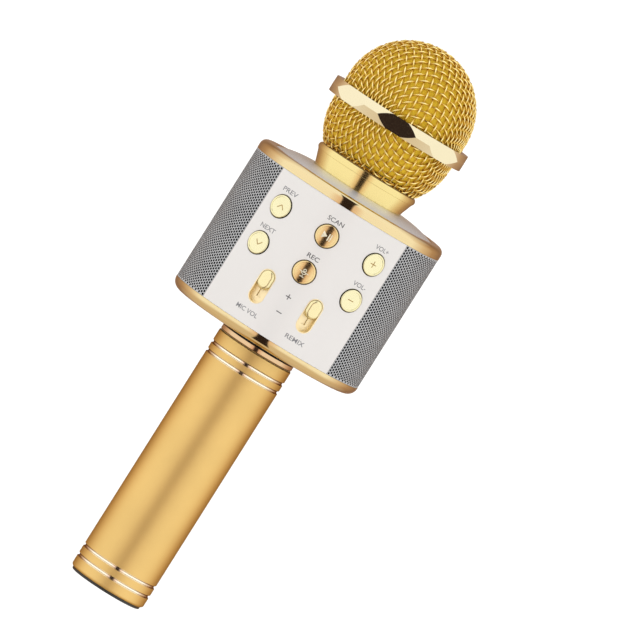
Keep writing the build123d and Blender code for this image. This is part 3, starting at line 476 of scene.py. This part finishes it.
WIRE_RADIUS = 0.325
WEAVE_PITCH = 3.085
WIRE_SIDES = 8
WIRE_GAP = 0.02
NET_REACH = 62.0
NET_STEPS = 7
RING_OVERLAP = 2.6
SKIN_RADIUS = node_box("grille_upper")[1][0]
MID_RADIUS = SKIN_RADIUS - 2 * WIRE_RADIUS - WIRE_GAP
UPPER_CENTRE = node_box("grille_upper")[1][2] - SKIN_RADIUS
LOWER_CENTRE = 209.4
RING_LOW, RING_HIGH = (corner[2] for corner in node_box("facet_ring"))


def on_skin(point):
    """Nearest point of a dome on a tube, both of the weave's middle radius, pole at +z."""
    x, y, z = point
    if z >= 0:
        scale = MID_RADIUS / math.sqrt(x * x + y * y + z * z)
        return np.array((x * scale, y * scale, z * scale))
    scale = MID_RADIUS / math.hypot(x, y)
    return np.array((x * scale, y * scale, z))


def skin_normal(point):
    x, y, z = point
    normal = np.array((x, y, max(z, 0.0)))
    return normal / np.linalg.norm(normal)


def net_corner(first, second, behind, step):
    """The skin point one step from both neighbours, across from the point behind them."""
    point = on_skin(first + second - behind)
    for _ in range(5):
        normal = skin_normal(point)
        gap = np.array((
            (point - first) @ (point - first) - step**2,
            (point - second) @ (point - second) - step**2,
            (point - on_skin(point)) @ normal,
        ))
        if np.abs(gap).max() < 1e-7:
            break
        slopes = np.array((2 * (point - first), 2 * (point - second), normal))
        if abs(np.linalg.det(slopes)) < 1e-9:
            break
        point = point - np.linalg.solve(slopes, gap)
    return point if np.abs(gap).max() < 0.02 * step else None


def fishnet(step, count, lowest):
    """One quadrant of a net of equal rhombic meshes draped over the dome from its pole."""
    net = {}
    for index in range(count + 1):
        angle = index * step / MID_RADIUS
        if angle <= math.pi / 2:
            across = MID_RADIUS * math.sin(angle)
            height = MID_RADIUS * math.cos(angle)
        else:
            across = MID_RADIUS
            height = -(angle - math.pi / 2) * MID_RADIUS
        net[(index, 0)] = np.array((across, 0.0, height))
        net[(0, index)] = np.array((0.0, across, height))
    for row in range(1, count + 1):
        for column in range(1, count + 1):
            first = net.get((row - 1, column))
            second = net.get((row, column - 1))
            behind = net.get((row - 1, column - 1))
            if first is None or second is None or behind is None or behind[2] < lowest:
                continue
            if np.linalg.norm(first - second) < 0.5 * step:
                continue
            point = net_corner(first, second, behind, step)
            if point is not None:
                net[(row, column)] = point
    return net


def tube(points, normals, vertices, faces):
    """Adds a closed round wire that follows the points."""
    base = len(vertices)
    count = len(points)
    for index, point in enumerate(points):
        ahead = points[min(index + 1, count - 1)] - points[max(index - 1, 0)]
        ahead = ahead / np.linalg.norm(ahead)
        side = np.cross(ahead, normals[index])
        side = side / np.linalg.norm(side)
        up = np.cross(side, ahead)
        for turn in range(WIRE_SIDES):
            angle = 2 * math.pi * turn / WIRE_SIDES
            offset = math.cos(angle) * up + math.sin(angle) * side
            vertices.append(point + WIRE_RADIUS * offset)
    for index in range(count - 1):
        for turn in range(WIRE_SIDES):
            one = base + index * WIRE_SIDES + turn
            two = base + index * WIRE_SIDES + (turn + 1) % WIRE_SIDES
            faces.append((one, one + WIRE_SIDES, two + WIRE_SIDES, two))
    last = base + (count - 1) * WIRE_SIDES
    faces.append(tuple(base + turn for turn in range(WIRE_SIDES)))
    faces.append(tuple(last + turn for turn in reversed(range(WIRE_SIDES))))


def lattice_point(net, row, column):
    """The net's point in any quadrant, mirrored from the one that is worked out."""
    point = net.get((abs(row), abs(column)))
    if point is None:
        return None
    across = math.copysign(point[0], row) if row else 0.0
    along = math.copysign(point[1], column) if column else 0.0
    return np.array((across, along, point[2]))


def weave(name, node, centre, flip, window, turn, shift, over):
    """Plain-woven wire cloth over a dome.

    window is the lowest and highest local height that is kept, shift the row and column of a
    crossing, and over which wires lie on top.
    """
    step = WEAVE_PITCH / NET_STEPS
    count = int(NET_REACH / step)
    net = fishnet(step, count, window[0] - 4 * step)
    cos_turn = math.cos(turn)
    sin_turn = math.sin(turn)

    def placed(vector):
        x = vector[0] * cos_turn - vector[1] * sin_turn
        y = vector[0] * sin_turn + vector[1] * cos_turn
        return np.array((x, y, vector[2] * flip))

    vertices = []
    faces = []
    crests = []
    lines = count // NET_STEPS
    for family in (0, 1):
        for line in range(-lines, lines + 1):
            fixed = line * NET_STEPS + shift[family]
            crest = over * (1 if family == 0 else -1) * (-1) ** line
            runs = [[]]
            for free in range(-count, count + 1):
                row, column = (fixed, free) if family == 0 else (free, fixed)
                base = lattice_point(net, row, column)
                if base is None or not window[0] < base[2] < window[1]:
                    runs.append([])
                    continue
                normal = skin_normal(base)
                wave = crest * math.cos(math.pi * (free - shift[1 - family]) / NET_STEPS)
                spot = placed(base + normal * wave * WIRE_RADIUS)
                runs[-1].append((spot, placed(normal), wave))
            for run in runs:
                if len(run) > 3:
                    spots, normals, waves = zip(*run)
                    tube(spots, normals, vertices, faces)
                    crests.extend(wave for wave in waves for _ in range(WIRE_SIDES))
    vertices = [(v[0], v[1], v[2] + centre) for v in vertices]
    body = body_of_node(node)
    thing = piece(name, vertices, faces, ["gold_wire"], body)
    thing.data.attributes.new("crest", "FLOAT", "POINT").data.foreach_set("value", crests)
    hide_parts(node)


weave(
    "weave_upper", "grille_upper", UPPER_CENTRE, 1,
    (RING_HIGH - RING_OVERLAP - UPPER_CENTRE, 100.0),
    math.radians(20.98), (2, -1), 1,
)
weave(
    "weave_lower", "grille_lower", LOWER_CENTRE, -1,
    (LOWER_CENTRE - RING_LOW - RING_OVERLAP,
     LOWER_CENTRE - node_box("grille_lower")[0][2] + 0.05),
    math.radians(22.05), (3, 2), -1,
)


# ---------------------------------------------------------------- foam

FOAM_THICK = 2.4
FOAM_SWELL = 0.06
FOAM_STEPS = 60
FOAM_AROUND = 128


def foam_line(radius, start):
    """Half of a section of the foam, from its foot to its tip."""
    line = []
    top = UPPER_CENTRE + radius
    for index in range(FOAM_STEPS + 1):
        height = start + (top - start) * math.sin(index / FOAM_STEPS * math.pi / 2)
        if height > UPPER_CENTRE:
            across = math.sqrt(max(radius**2 - (height - UPPER_CENTRE) ** 2, 0.0))
        elif height < LOWER_CENTRE:
            across = math.sqrt(radius**2 - (LOWER_CENTRE - height) ** 2)
        else:
            across = radius
        line.append((across, height))
    return line


def foam():
    """Foam liner just inside the wire, with a softly uneven skin."""
    start = node_box("windscreen_foam")[0][2]
    outer = MID_RADIUS - 2 * WIRE_RADIUS - 0.05
    outside = foam_line(outer, start)
    inside = foam_line(outer - FOAM_THICK, start)
    profile = outside[:-1] + list(reversed(inside[:-1]))
    vertices = []
    for across, height in profile:
        for turn in range(FOAM_AROUND):
            angle = 2 * math.pi * turn / FOAM_AROUND
            swell = math.sin(9 * angle + height) * math.sin(height * 0.9 + 4 * angle) - 1
            radius = across + FOAM_SWELL * swell
            vertices.append((radius * math.cos(angle), radius * math.sin(angle), height))
    faces = []
    rows = len(profile)
    brow = FOAM_STEPS - 1
    tip = len(vertices)
    vertices.append((0, 0, outside[-1][1] - FOAM_SWELL))
    vertices.append((0, 0, inside[-1][1] - FOAM_SWELL))
    for row in range(rows):
        near = row * FOAM_AROUND
        far = (row + 1) % rows * FOAM_AROUND
        for turn in range(FOAM_AROUND):
            after = (turn + 1) % FOAM_AROUND
            if row == brow:
                faces.append((near + turn, near + after, tip))
                faces.append((far + after, far + turn, tip + 1))
            else:
                faces.append((near + turn, near + after, far + after, far + turn))
    body = body_of_node("windscreen_foam")
    thing = piece("foam_liner", vertices, faces, ["yellow_foam"], body)
    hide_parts("windscreen_foam")


foam()


# ---------------------------------------------------------------- perforated side sheets

HOLE_PITCH = 1.30
COLUMN_PITCH = 1.20
HOLE_RADIUS = 0.53
HOLE_SIDES = 8
SHEET_MARGIN = 0.04
SHEET_RADIUS = 41.42
SHEET_THICK = 0.45
SHEET_START = 43.15
CLOTH_DEPTH = 1.0
CLOTH_STEPS = 48
SHEET_FINISH = 0
CLOTH_AND_WALL_SHADE = 1


def side_sheet(name, node, side):
    """Curved sheet with staggered round holes, hole walls painted black as painted shade, and black
    cloth behind.
    """
    low, high = node_box(node)
    bottom, top = low[2], high[2]
    arc = math.radians(180 - 2 * SHEET_START)
    columns = round(arc * SHEET_RADIUS / COLUMN_PITCH)
    width = arc / columns
    rows = round((top - bottom) / HOLE_PITCH)
    pitch = (top - bottom - 2 * SHEET_MARGIN) / rows
    start = math.radians(SHEET_START)
    vertices = []
    faces = []
    indices = []
    known = {}

    def point(angle, height, depth=0.0):
        key = (round(angle * 1e5), round(height * 1e4), round(depth * 1e3))
        if key not in known:
            radius = SHEET_RADIUS - depth
            known[key] = len(vertices)
            vertices.append((side * radius * math.sin(angle), -radius * math.cos(angle), height))
        return known[key]

    def face(*corners, finish=SHEET_FINISH):
        faces.append(corners if side > 0 else tuple(reversed(corners)))
        indices.append(finish)

    for column in range(columns):
        left = start + column * width
        middle = left + width / 2
        right = left + width
        staggered = column % 2 == 1
        shift = pitch / 2 if staggered else 0.0
        for row in range(rows - (1 if staggered else 0)):
            base = bottom + SHEET_MARGIN + row * pitch + shift
            centre = base + pitch / 2
            cap = base + pitch
            rim = [
                (right, centre), (right, cap), (middle, cap), (left, cap),
                (left, centre), (left, base), (middle, base), (right, base),
            ]
            outer = [point(*corner) for corner in rim]
            hole = []
            wall = []
            for step in range(HOLE_SIDES):
                angle = 2 * math.pi * step / HOLE_SIDES
                turn = middle + HOLE_RADIUS * math.cos(angle) / SHEET_RADIUS
                height = centre + HOLE_RADIUS * math.sin(angle)
                hole.append(point(turn, height))
                wall.append(point(turn, height, SHEET_THICK))
            for step in range(HOLE_SIDES):
                after = (step + 1) % HOLE_SIDES
                face(outer[step], outer[after], hole[after], hole[step])
                # Hole walls take the black cloth finish: painted shade inside each hole.
                face(hole[step], hole[after], wall[after], wall[step], finish=CLOTH_AND_WALL_SHADE)
        first, last = bottom + SHEET_MARGIN, top - SHEET_MARGIN
        for end_low, end_high in ((bottom, first + shift), (last - shift, top)):
            inner = [mark for mark in (first, last) if end_low < mark < end_high]
            marks = [end_low, *inner, end_high]
            for one, two in zip(marks, marks[1:]):
                for near, far in ((left, middle), (middle, right)):
                    face(point(near, one), point(far, one), point(far, two), point(near, two))

    def strip(corners, forward, finish=SHEET_FINISH):
        points = [point(*corner) for corner in corners]
        face(*(points if forward else reversed(points)), finish=finish)

    deep = CLOTH_DEPTH
    for step in range(CLOTH_STEPS):
        one = start + arc * step / CLOTH_STEPS
        two = start + arc * (step + 1) / CLOTH_STEPS
        cloth = [(one, bottom, deep), (two, bottom, deep), (two, top, deep), (one, top, deep)]
        strip(cloth, True, CLOTH_AND_WALL_SHADE)
        for height in (bottom, top):
            edge = [(one, height), (two, height), (two, height, deep), (one, height, deep)]
            strip(edge, height == bottom)
    for angle in (start, start + arc):
        edge = [(angle, bottom), (angle, top), (angle, top, deep), (angle, bottom, deep)]
        strip(edge, angle == start)
    finishes = ["silver_mesh", "speaker_cloth"]
    body = body_of_node(node)
    thing = piece(name, vertices, faces, finishes, body, False, indices)
    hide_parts(node)


side_sheet("perforated_sheet_left", "side_grille_left", -1)
side_sheet("perforated_sheet_right", "side_grille_right", 1)


# ---------------------------------------------------------------- printed and engraved marks


def stroke(start, end, width):
    """A straight bar as a polygon strip: pairs of points along its two sides."""
    ahead = np.array(end, float) - np.array(start, float)
    side = np.array((-ahead[1], ahead[0])) / np.linalg.norm(ahead) * width / 2
    steps = max(2, int(np.linalg.norm(ahead) / 0.4))
    strip = []
    for step in range(steps + 1):
        centre = np.array(start, float) + ahead * step / steps
        strip.append((centre - side, centre + side))
    return strip


def arc_stroke(centre, radius, start, end, width):
    """A curved bar, angles in degrees."""
    steps = max(6, int(abs(end - start) / 12))
    strip = []
    for step in range(steps + 1):
        angle = math.radians(start + (end - start) * step / steps)
        ray = np.array((math.cos(angle), math.sin(angle)))
        inner, outer = radius - width / 2, radius + width / 2
        strip.append((np.array(centre) + ray * inner, np.array(centre) + ray * outer))
    return strip


def wedge(left, right, low, high):
    """A triangle that points right, as a strip of narrowing pairs."""
    strip = []
    middle = (low + high) / 2
    steps = 6
    for step in range(steps + 1):
        part = step / steps
        x = left + (right - left) * part
        size = max((1 - part) * (high - low) / 2, 0.01)
        strip.append((np.array((x, middle - size)), np.array((x, middle + size))))
    return strip


def marks_mesh(name, strips, place, finish, body, thickness):
    """Closed thin bars whose plan points go through place(x, y, lift)."""
    vertices = []
    faces = []
    for strip in strips:
        base = len(vertices)
        for first, second in strip:
            for lift in (thickness, -MARK_DEPTH):
                vertices.append(place(first[0], first[1], lift))
                vertices.append(place(second[0], second[1], lift))
        last = len(strip) - 1
        for step in range(last):
            a = base + 4 * step
            b = a + 4
            faces.append((a, b, b + 1, a + 1))
            faces.append((a + 2, a + 3, b + 3, b + 2))
            faces.append((a, a + 2, b + 2, b))
            faces.append((a + 1, b + 1, b + 3, a + 3))
        faces.append((base, base + 1, base + 3, base + 2))
        end = base + 4 * last
        faces.append((end, end + 2, end + 3, end + 1))
    return piece(name, vertices, faces, [finish], body, False)


def on_panel(angle, height):
    """Places plan points on the drum's curved panel around an angle and height."""

    def place(x, y, lift):
        turn = math.radians(angle) + x / PANEL_RADIUS
        radius = PANEL_RADIUS + lift
        return (radius * math.sin(turn), -radius * math.cos(turn), height + y)

    return place


MARK_DEPTH = 0.05
PANEL_RADIUS = node_box("top_band")[1][0]
BUTTON_RIM = 0.22
BUTTON_FACE = -node_box("button_play")[0][1] - BUTTON_RIM
BUTTONS = {}
for name in ("previous", "next", "play", "record", "volume_up", "volume_down"):
    low, high = node_box(f"button_{name}")
    centre_x = (low[0] + high[0]) / 2
    centre_y = (low[1] + high[1]) / 2
    BUTTONS[name] = (math.degrees(math.atan2(centre_x, -centre_y)), (low[2] + high[2]) / 2)

SYMBOLS = {
    "previous": (
        [stroke((-1.5, -0.9), (0, 0.75), 0.34), stroke((0, 0.75), (1.5, -0.9), 0.34)],
        "engraving",
    ),
    "next": (
        [stroke((-1.5, 0.9), (0, -0.75), 0.34), stroke((0, -0.75), (1.5, 0.9), 0.34)],
        "engraving",
    ),
    "play": ([
        wedge(-1.9, 0.2, -1.45, 1.45),
        stroke((0.85, -1.45), (0.85, 1.45), 0.42),
        stroke((1.75, -1.45), (1.75, 1.45), 0.42),
    ], "pale_engraving"),
    "record": ([
        arc_stroke((0, 0.75), 0.5, 0, 360, 0.34),
        arc_stroke((0, 0.35), 1.15, 200, 340, 0.3),
        stroke((0, -0.8), (0, -1.9), 0.34),
        stroke((-0.9, -1.9), (0.9, -1.9), 0.34),
        stroke((-2.0, 0.0), (2.0, 0.0), 0.30),
    ], "pale_engraving"),
    "volume_up": (
        [stroke((-1.35, 0), (1.35, 0), 0.36), stroke((0, -1.35), (0, 1.35), 0.36)],
        "engraving",
    ),
    "volume_down": ([stroke((-1.35, 0), (1.35, 0), 0.36)], "engraving"),
}
for name, (angle, height) in BUTTONS.items():
    strips, finish = SYMBOLS[name]
    place = facing_place(angle, height, BUTTON_FACE)
    body = body_of_node(f"button_{name}")
    marks_mesh(f"symbol_{name}", strips, place, finish, body, 0.03)


def printed_word(name, text, angle, height, width, finish):
    """A word in raised ink, bent round the panel."""
    curve = bpy.data.curves.new(name, "FONT")
    curve.body = text
    curve.resolution_u = 4
    curve.extrude = 0.02
    curve.offset = 0.008
    source = bpy.data.objects.new(name + "_plan", curve)
    bpy.context.scene.collection.objects.link(source)
    bpy.context.view_layer.update()
    flat = source.evaluated_get(bpy.context.evaluated_depsgraph_get()).to_mesh()
    points = [tuple(v.co) for v in flat.vertices]
    faces = [tuple(p.vertices) for p in flat.polygons]
    bpy.data.objects.remove(source)
    left, right = min(p[0] for p in points), max(p[0] for p in points)
    low, high = min(p[1] for p in points), max(p[1] for p in points)
    place = on_panel(angle, height)
    vertices = []
    for x, y, lift in points:
        across = ((x - left) / (right - left) - 0.5) * width
        vertices.append(place(across, ((y - low) / (high - low) - 0.5) * WORD_TALL, lift))
    piece(name, vertices, faces, [finish], body_of_node("front_panel"), False)


WORD_TALL = 1.8
LABEL_RISE = 6.7
SLIDER_ANGLE = 15.2
SLOT_LABEL_DROP = 10.9
SLOT_CENTRE = sum(corner[2] for corner in node_box("slider_tray_left")) / 2
BUTTON_WORDS = {
    "print_previous": ("PREV", "previous", 7.3, "grey_ink"),
    "print_scan": ("SCAN", "play", 7.0, "dark_ink"),
    "print_louder": ("VOL+", "volume_up", 6.4, "grey_ink"),
    "print_next": ("NEXT", "next", 7.3, "grey_ink"),
    "print_record": ("REC", "record", 5.2, "dark_ink"),
    "print_quieter": ("VOL-", "volume_down", 6.2, "grey_ink"),
}
for name, (text, button, width, finish) in BUTTON_WORDS.items():
    angle, height = BUTTONS[button]
    printed_word(name, text, angle, height + LABEL_RISE, width, finish)
SLOT_WORDS = {
    "print_voice": ("MIC VOL", -SLIDER_ANGLE, 9.7),
    "print_mixer": ("REMIX", SLIDER_ANGLE, 8.4),
}
for name, (text, angle, width) in SLOT_WORDS.items():
    printed_word(name, text, angle, SLOT_CENTRE - SLOT_LABEL_DROP, width, "grey_ink")
SIGNS = {
    "print_plus": ([stroke((-1.15, 0), (1.15, 0), 0.36), stroke((0, -1.15), (0, 1.15), 0.36)], 2.0),
    "print_minus": ([stroke((-1.15, 0), (1.15, 0), 0.36)], -4.9),
}
for name, (strips, rise) in SIGNS.items():
    place = on_panel(0.0, SLOT_CENTRE + rise)
    body = body_of_node("front_panel")
    marks_mesh(name, strips, place, "dark_ink", body, 0.02)


# ---------------------------------------------------------------- slot and button details

SHUTTER_BACK = 37.3
SHUTTER_FRONT = 37.55
SHUTTER_HALF = (1.6, 7.7)


def shutter(side, angle):
    """Thin plate on a slider's stem that keeps the slot in its tray closed."""
    low, high = node_box(f"slider_{side}")
    place = facing_place(angle, (low[2] + high[2]) / 2, 0.0)
    wide, tall = SHUTTER_HALF
    vertices = [
        place(x, y, level)
        for level in (SHUTTER_BACK, SHUTTER_FRONT)
        for x, y in ((-wide, -tall), (wide, -tall), (wide, tall), (-wide, tall))
    ]
    faces = [(0, 3, 2, 1), (4, 5, 6, 7), (0, 1, 5, 4), (1, 2, 6, 5), (2, 3, 7, 6), (3, 0, 4, 7)]
    body = body_of_node(f"slider_{side}")
    piece(f"slot_shutter_{side}", vertices, faces, ["tray_gold"], body, False)


shutter("left", -SLIDER_ANGLE)
shutter("right", SLIDER_ANGLE)

GAP_SECTION = ((4.62, 40.9), (4.88, 41.2), (4.88, 39.9), (4.62, 39.9))
GAP_STEPS = 48


def gap_rings():
    """Thin dark rings that line the six button holes, coloured dark as painted shade for the gap
    round each button.
    """
    vertices = []
    faces = []
    for angle, height in BUTTONS.values():
        place = facing_place(angle, height, 0.0)
        base = len(vertices)
        for step in range(GAP_STEPS):
            spin = 2 * math.pi * step / GAP_STEPS
            for radius, level in GAP_SECTION:
                vertices.append(place(radius * math.cos(spin), radius * math.sin(spin), level))
        for step in range(GAP_STEPS):
            one = base + 4 * step
            two = base + 4 * ((step + 1) % GAP_STEPS)
            for side in range(4):
                other = (side + 1) % 4
                faces.append((one + side, two + side, two + other, one + other))
    body = body_of_node("front_panel")
    piece("button_gap_rings", vertices, faces, ["dark_gap"], body)


gap_rings()


# ---------------------------------------------------------------- floor, light and camera

FLOOR_HALF = 40.0
FLOOR_HEIGHT = -0.15
FLOOR_GLOW = 0.45
REFLECTED_STRENGTH = 1.25
ROOM_STRENGTH = 0.86
AROUND = [
    (0.0, (0.80, 0.56, 0.44)), (0.055, (0.84, 0.62, 0.50)),
    (0.12, (1.0, 0.97, 0.93)), (0.50, (1.0, 0.98, 0.94)),
    (0.62, (0.74, 0.58, 0.45)), (0.74, (0.46, 0.29, 0.18)),
    (0.88, (0.26, 0.15, 0.09)), (1.0, (0.30, 0.19, 0.13)),
]
OVERHEAD = (1.0, 1.0, 0.99, 1)
UNDERFOOT = (0.66, 0.53, 0.39, 1)
DARK_CARD = (0.028, 0.017, 0.015, 1)


def floor():
    mesh = bpy.data.meshes.new("studio_floor")
    size = FLOOR_HALF
    corners = [(-size, -size), (size, -size), (size, size), (-size, size)]
    mesh.from_pydata([(x, y, FLOOR_HEIGHT) for x, y in corners], [], [(0, 1, 2, 3)])
    paint = surface(
        "studio_floor_paint", (0.86, 0.86, 0.86), (0.7, 0.8), 0.0, (3.0, 0.004),
        (30.0, 0.02, 0.0005),
    )
    paint.feed(paint.shader, {"Emission Color": (1, 1, 1, 1), "Emission Strength": FLOOR_GLOW})
    mesh.materials.append(paint.material)
    thing = bpy.data.objects.new("studio_floor", mesh)
    thing.visible_glossy = False
    bpy.context.scene.collection.objects.link(thing)


def studio_light():
    """White room for the matt surfaces; the shiny ones see two broad white walls, a narrow dark
    card straight ahead and a warm dim back."""
    world = bpy.data.worlds.new("studio")
    bpy.context.scene.world = world
    world.use_nodes = True
    nodes = Nodes(world.node_tree)
    ray = nodes.split(nodes.add("ShaderNodeTexCoord").outputs["Generated"])
    turn = nodes.math("ARCTAN2", ray["X"], nodes.math("MULTIPLY", ray["Y"], -1.0))
    level = nodes.ramp(nodes.math("DIVIDE", nodes.math("ABSOLUTE", turn), math.pi), AROUND)
    upper = nodes.mix("RGBA", nodes.ranged(ray["Z"], 0.0, 1.0, 0.45, 0.95), level, OVERHEAD)
    lower = nodes.mix("RGBA", nodes.ranged(ray["Z"], 0.0, 0.9, -0.35, -0.65), upper, UNDERFOOT)
    beside = nodes.ranged(nodes.math("ABSOLUTE", ray["X"]), 1.0, 0.0, 0.112, 0.138)
    ahead = nodes.ranged(ray["Y"], 1.0, 0.0, -0.30, -0.15)
    seen = nodes.mix("RGBA", nodes.math("MULTIPLY", beside, ahead), lower, DARK_CARD)
    sky = nodes.ranged(ray["Z"], 0.72, 1.0, -0.2, 1.0)
    rays = nodes.add("ShaderNodeLightPath").outputs

    def background(color, strength):
        return nodes.add("ShaderNodeBackground", {"Color": color, "Strength": strength}).outputs[0]

    def choice(question, no, yes):
        return nodes.add("ShaderNodeMixShader", {0: rays[question], 1: no, 2: yes}).outputs[0]

    room = background(sky, ROOM_STRENGTH)
    lit = choice("Is Glossy Ray", room, background(seen, REFLECTED_STRENGTH))
    shown = choice("Is Camera Ray", lit, background((1, 1, 1, 1), 1.0))
    nodes.add("ShaderNodeOutputWorld", {"Surface": shown})


def camera():
    """Long lens, a little above the drum, rolled so the microphone leans to the right."""
    distance = 3.8
    elevation = math.radians(3.45)
    roll = math.radians(32.2346)
    aim = Vector((0.014972, 0.0, 0.1333))
    data = bpy.data.cameras.new("photo_camera")
    data.sensor_width = 36.0
    data.lens = 549.618
    data.clip_end = 100.0
    thing = bpy.data.objects.new("photo_camera", data)
    bpy.context.scene.collection.objects.link(thing)
    away = Vector((0.0, -math.cos(elevation), math.sin(elevation)))
    right = Vector((1.0, 0.0, 0.0))
    up = away.cross(right)
    turned_right = right * math.cos(roll) + up * math.sin(roll)
    turned_up = up * math.cos(roll) - right * math.sin(roll)
    columns = Matrix((turned_right, turned_up, away)).transposed().to_4x4()
    thing.matrix_world = Matrix.Translation(aim + away * distance) @ columns
    bpy.context.scene.camera = thing


floor()
studio_light()
camera()
bpy.context.scene.view_settings.view_transform = "Standard"
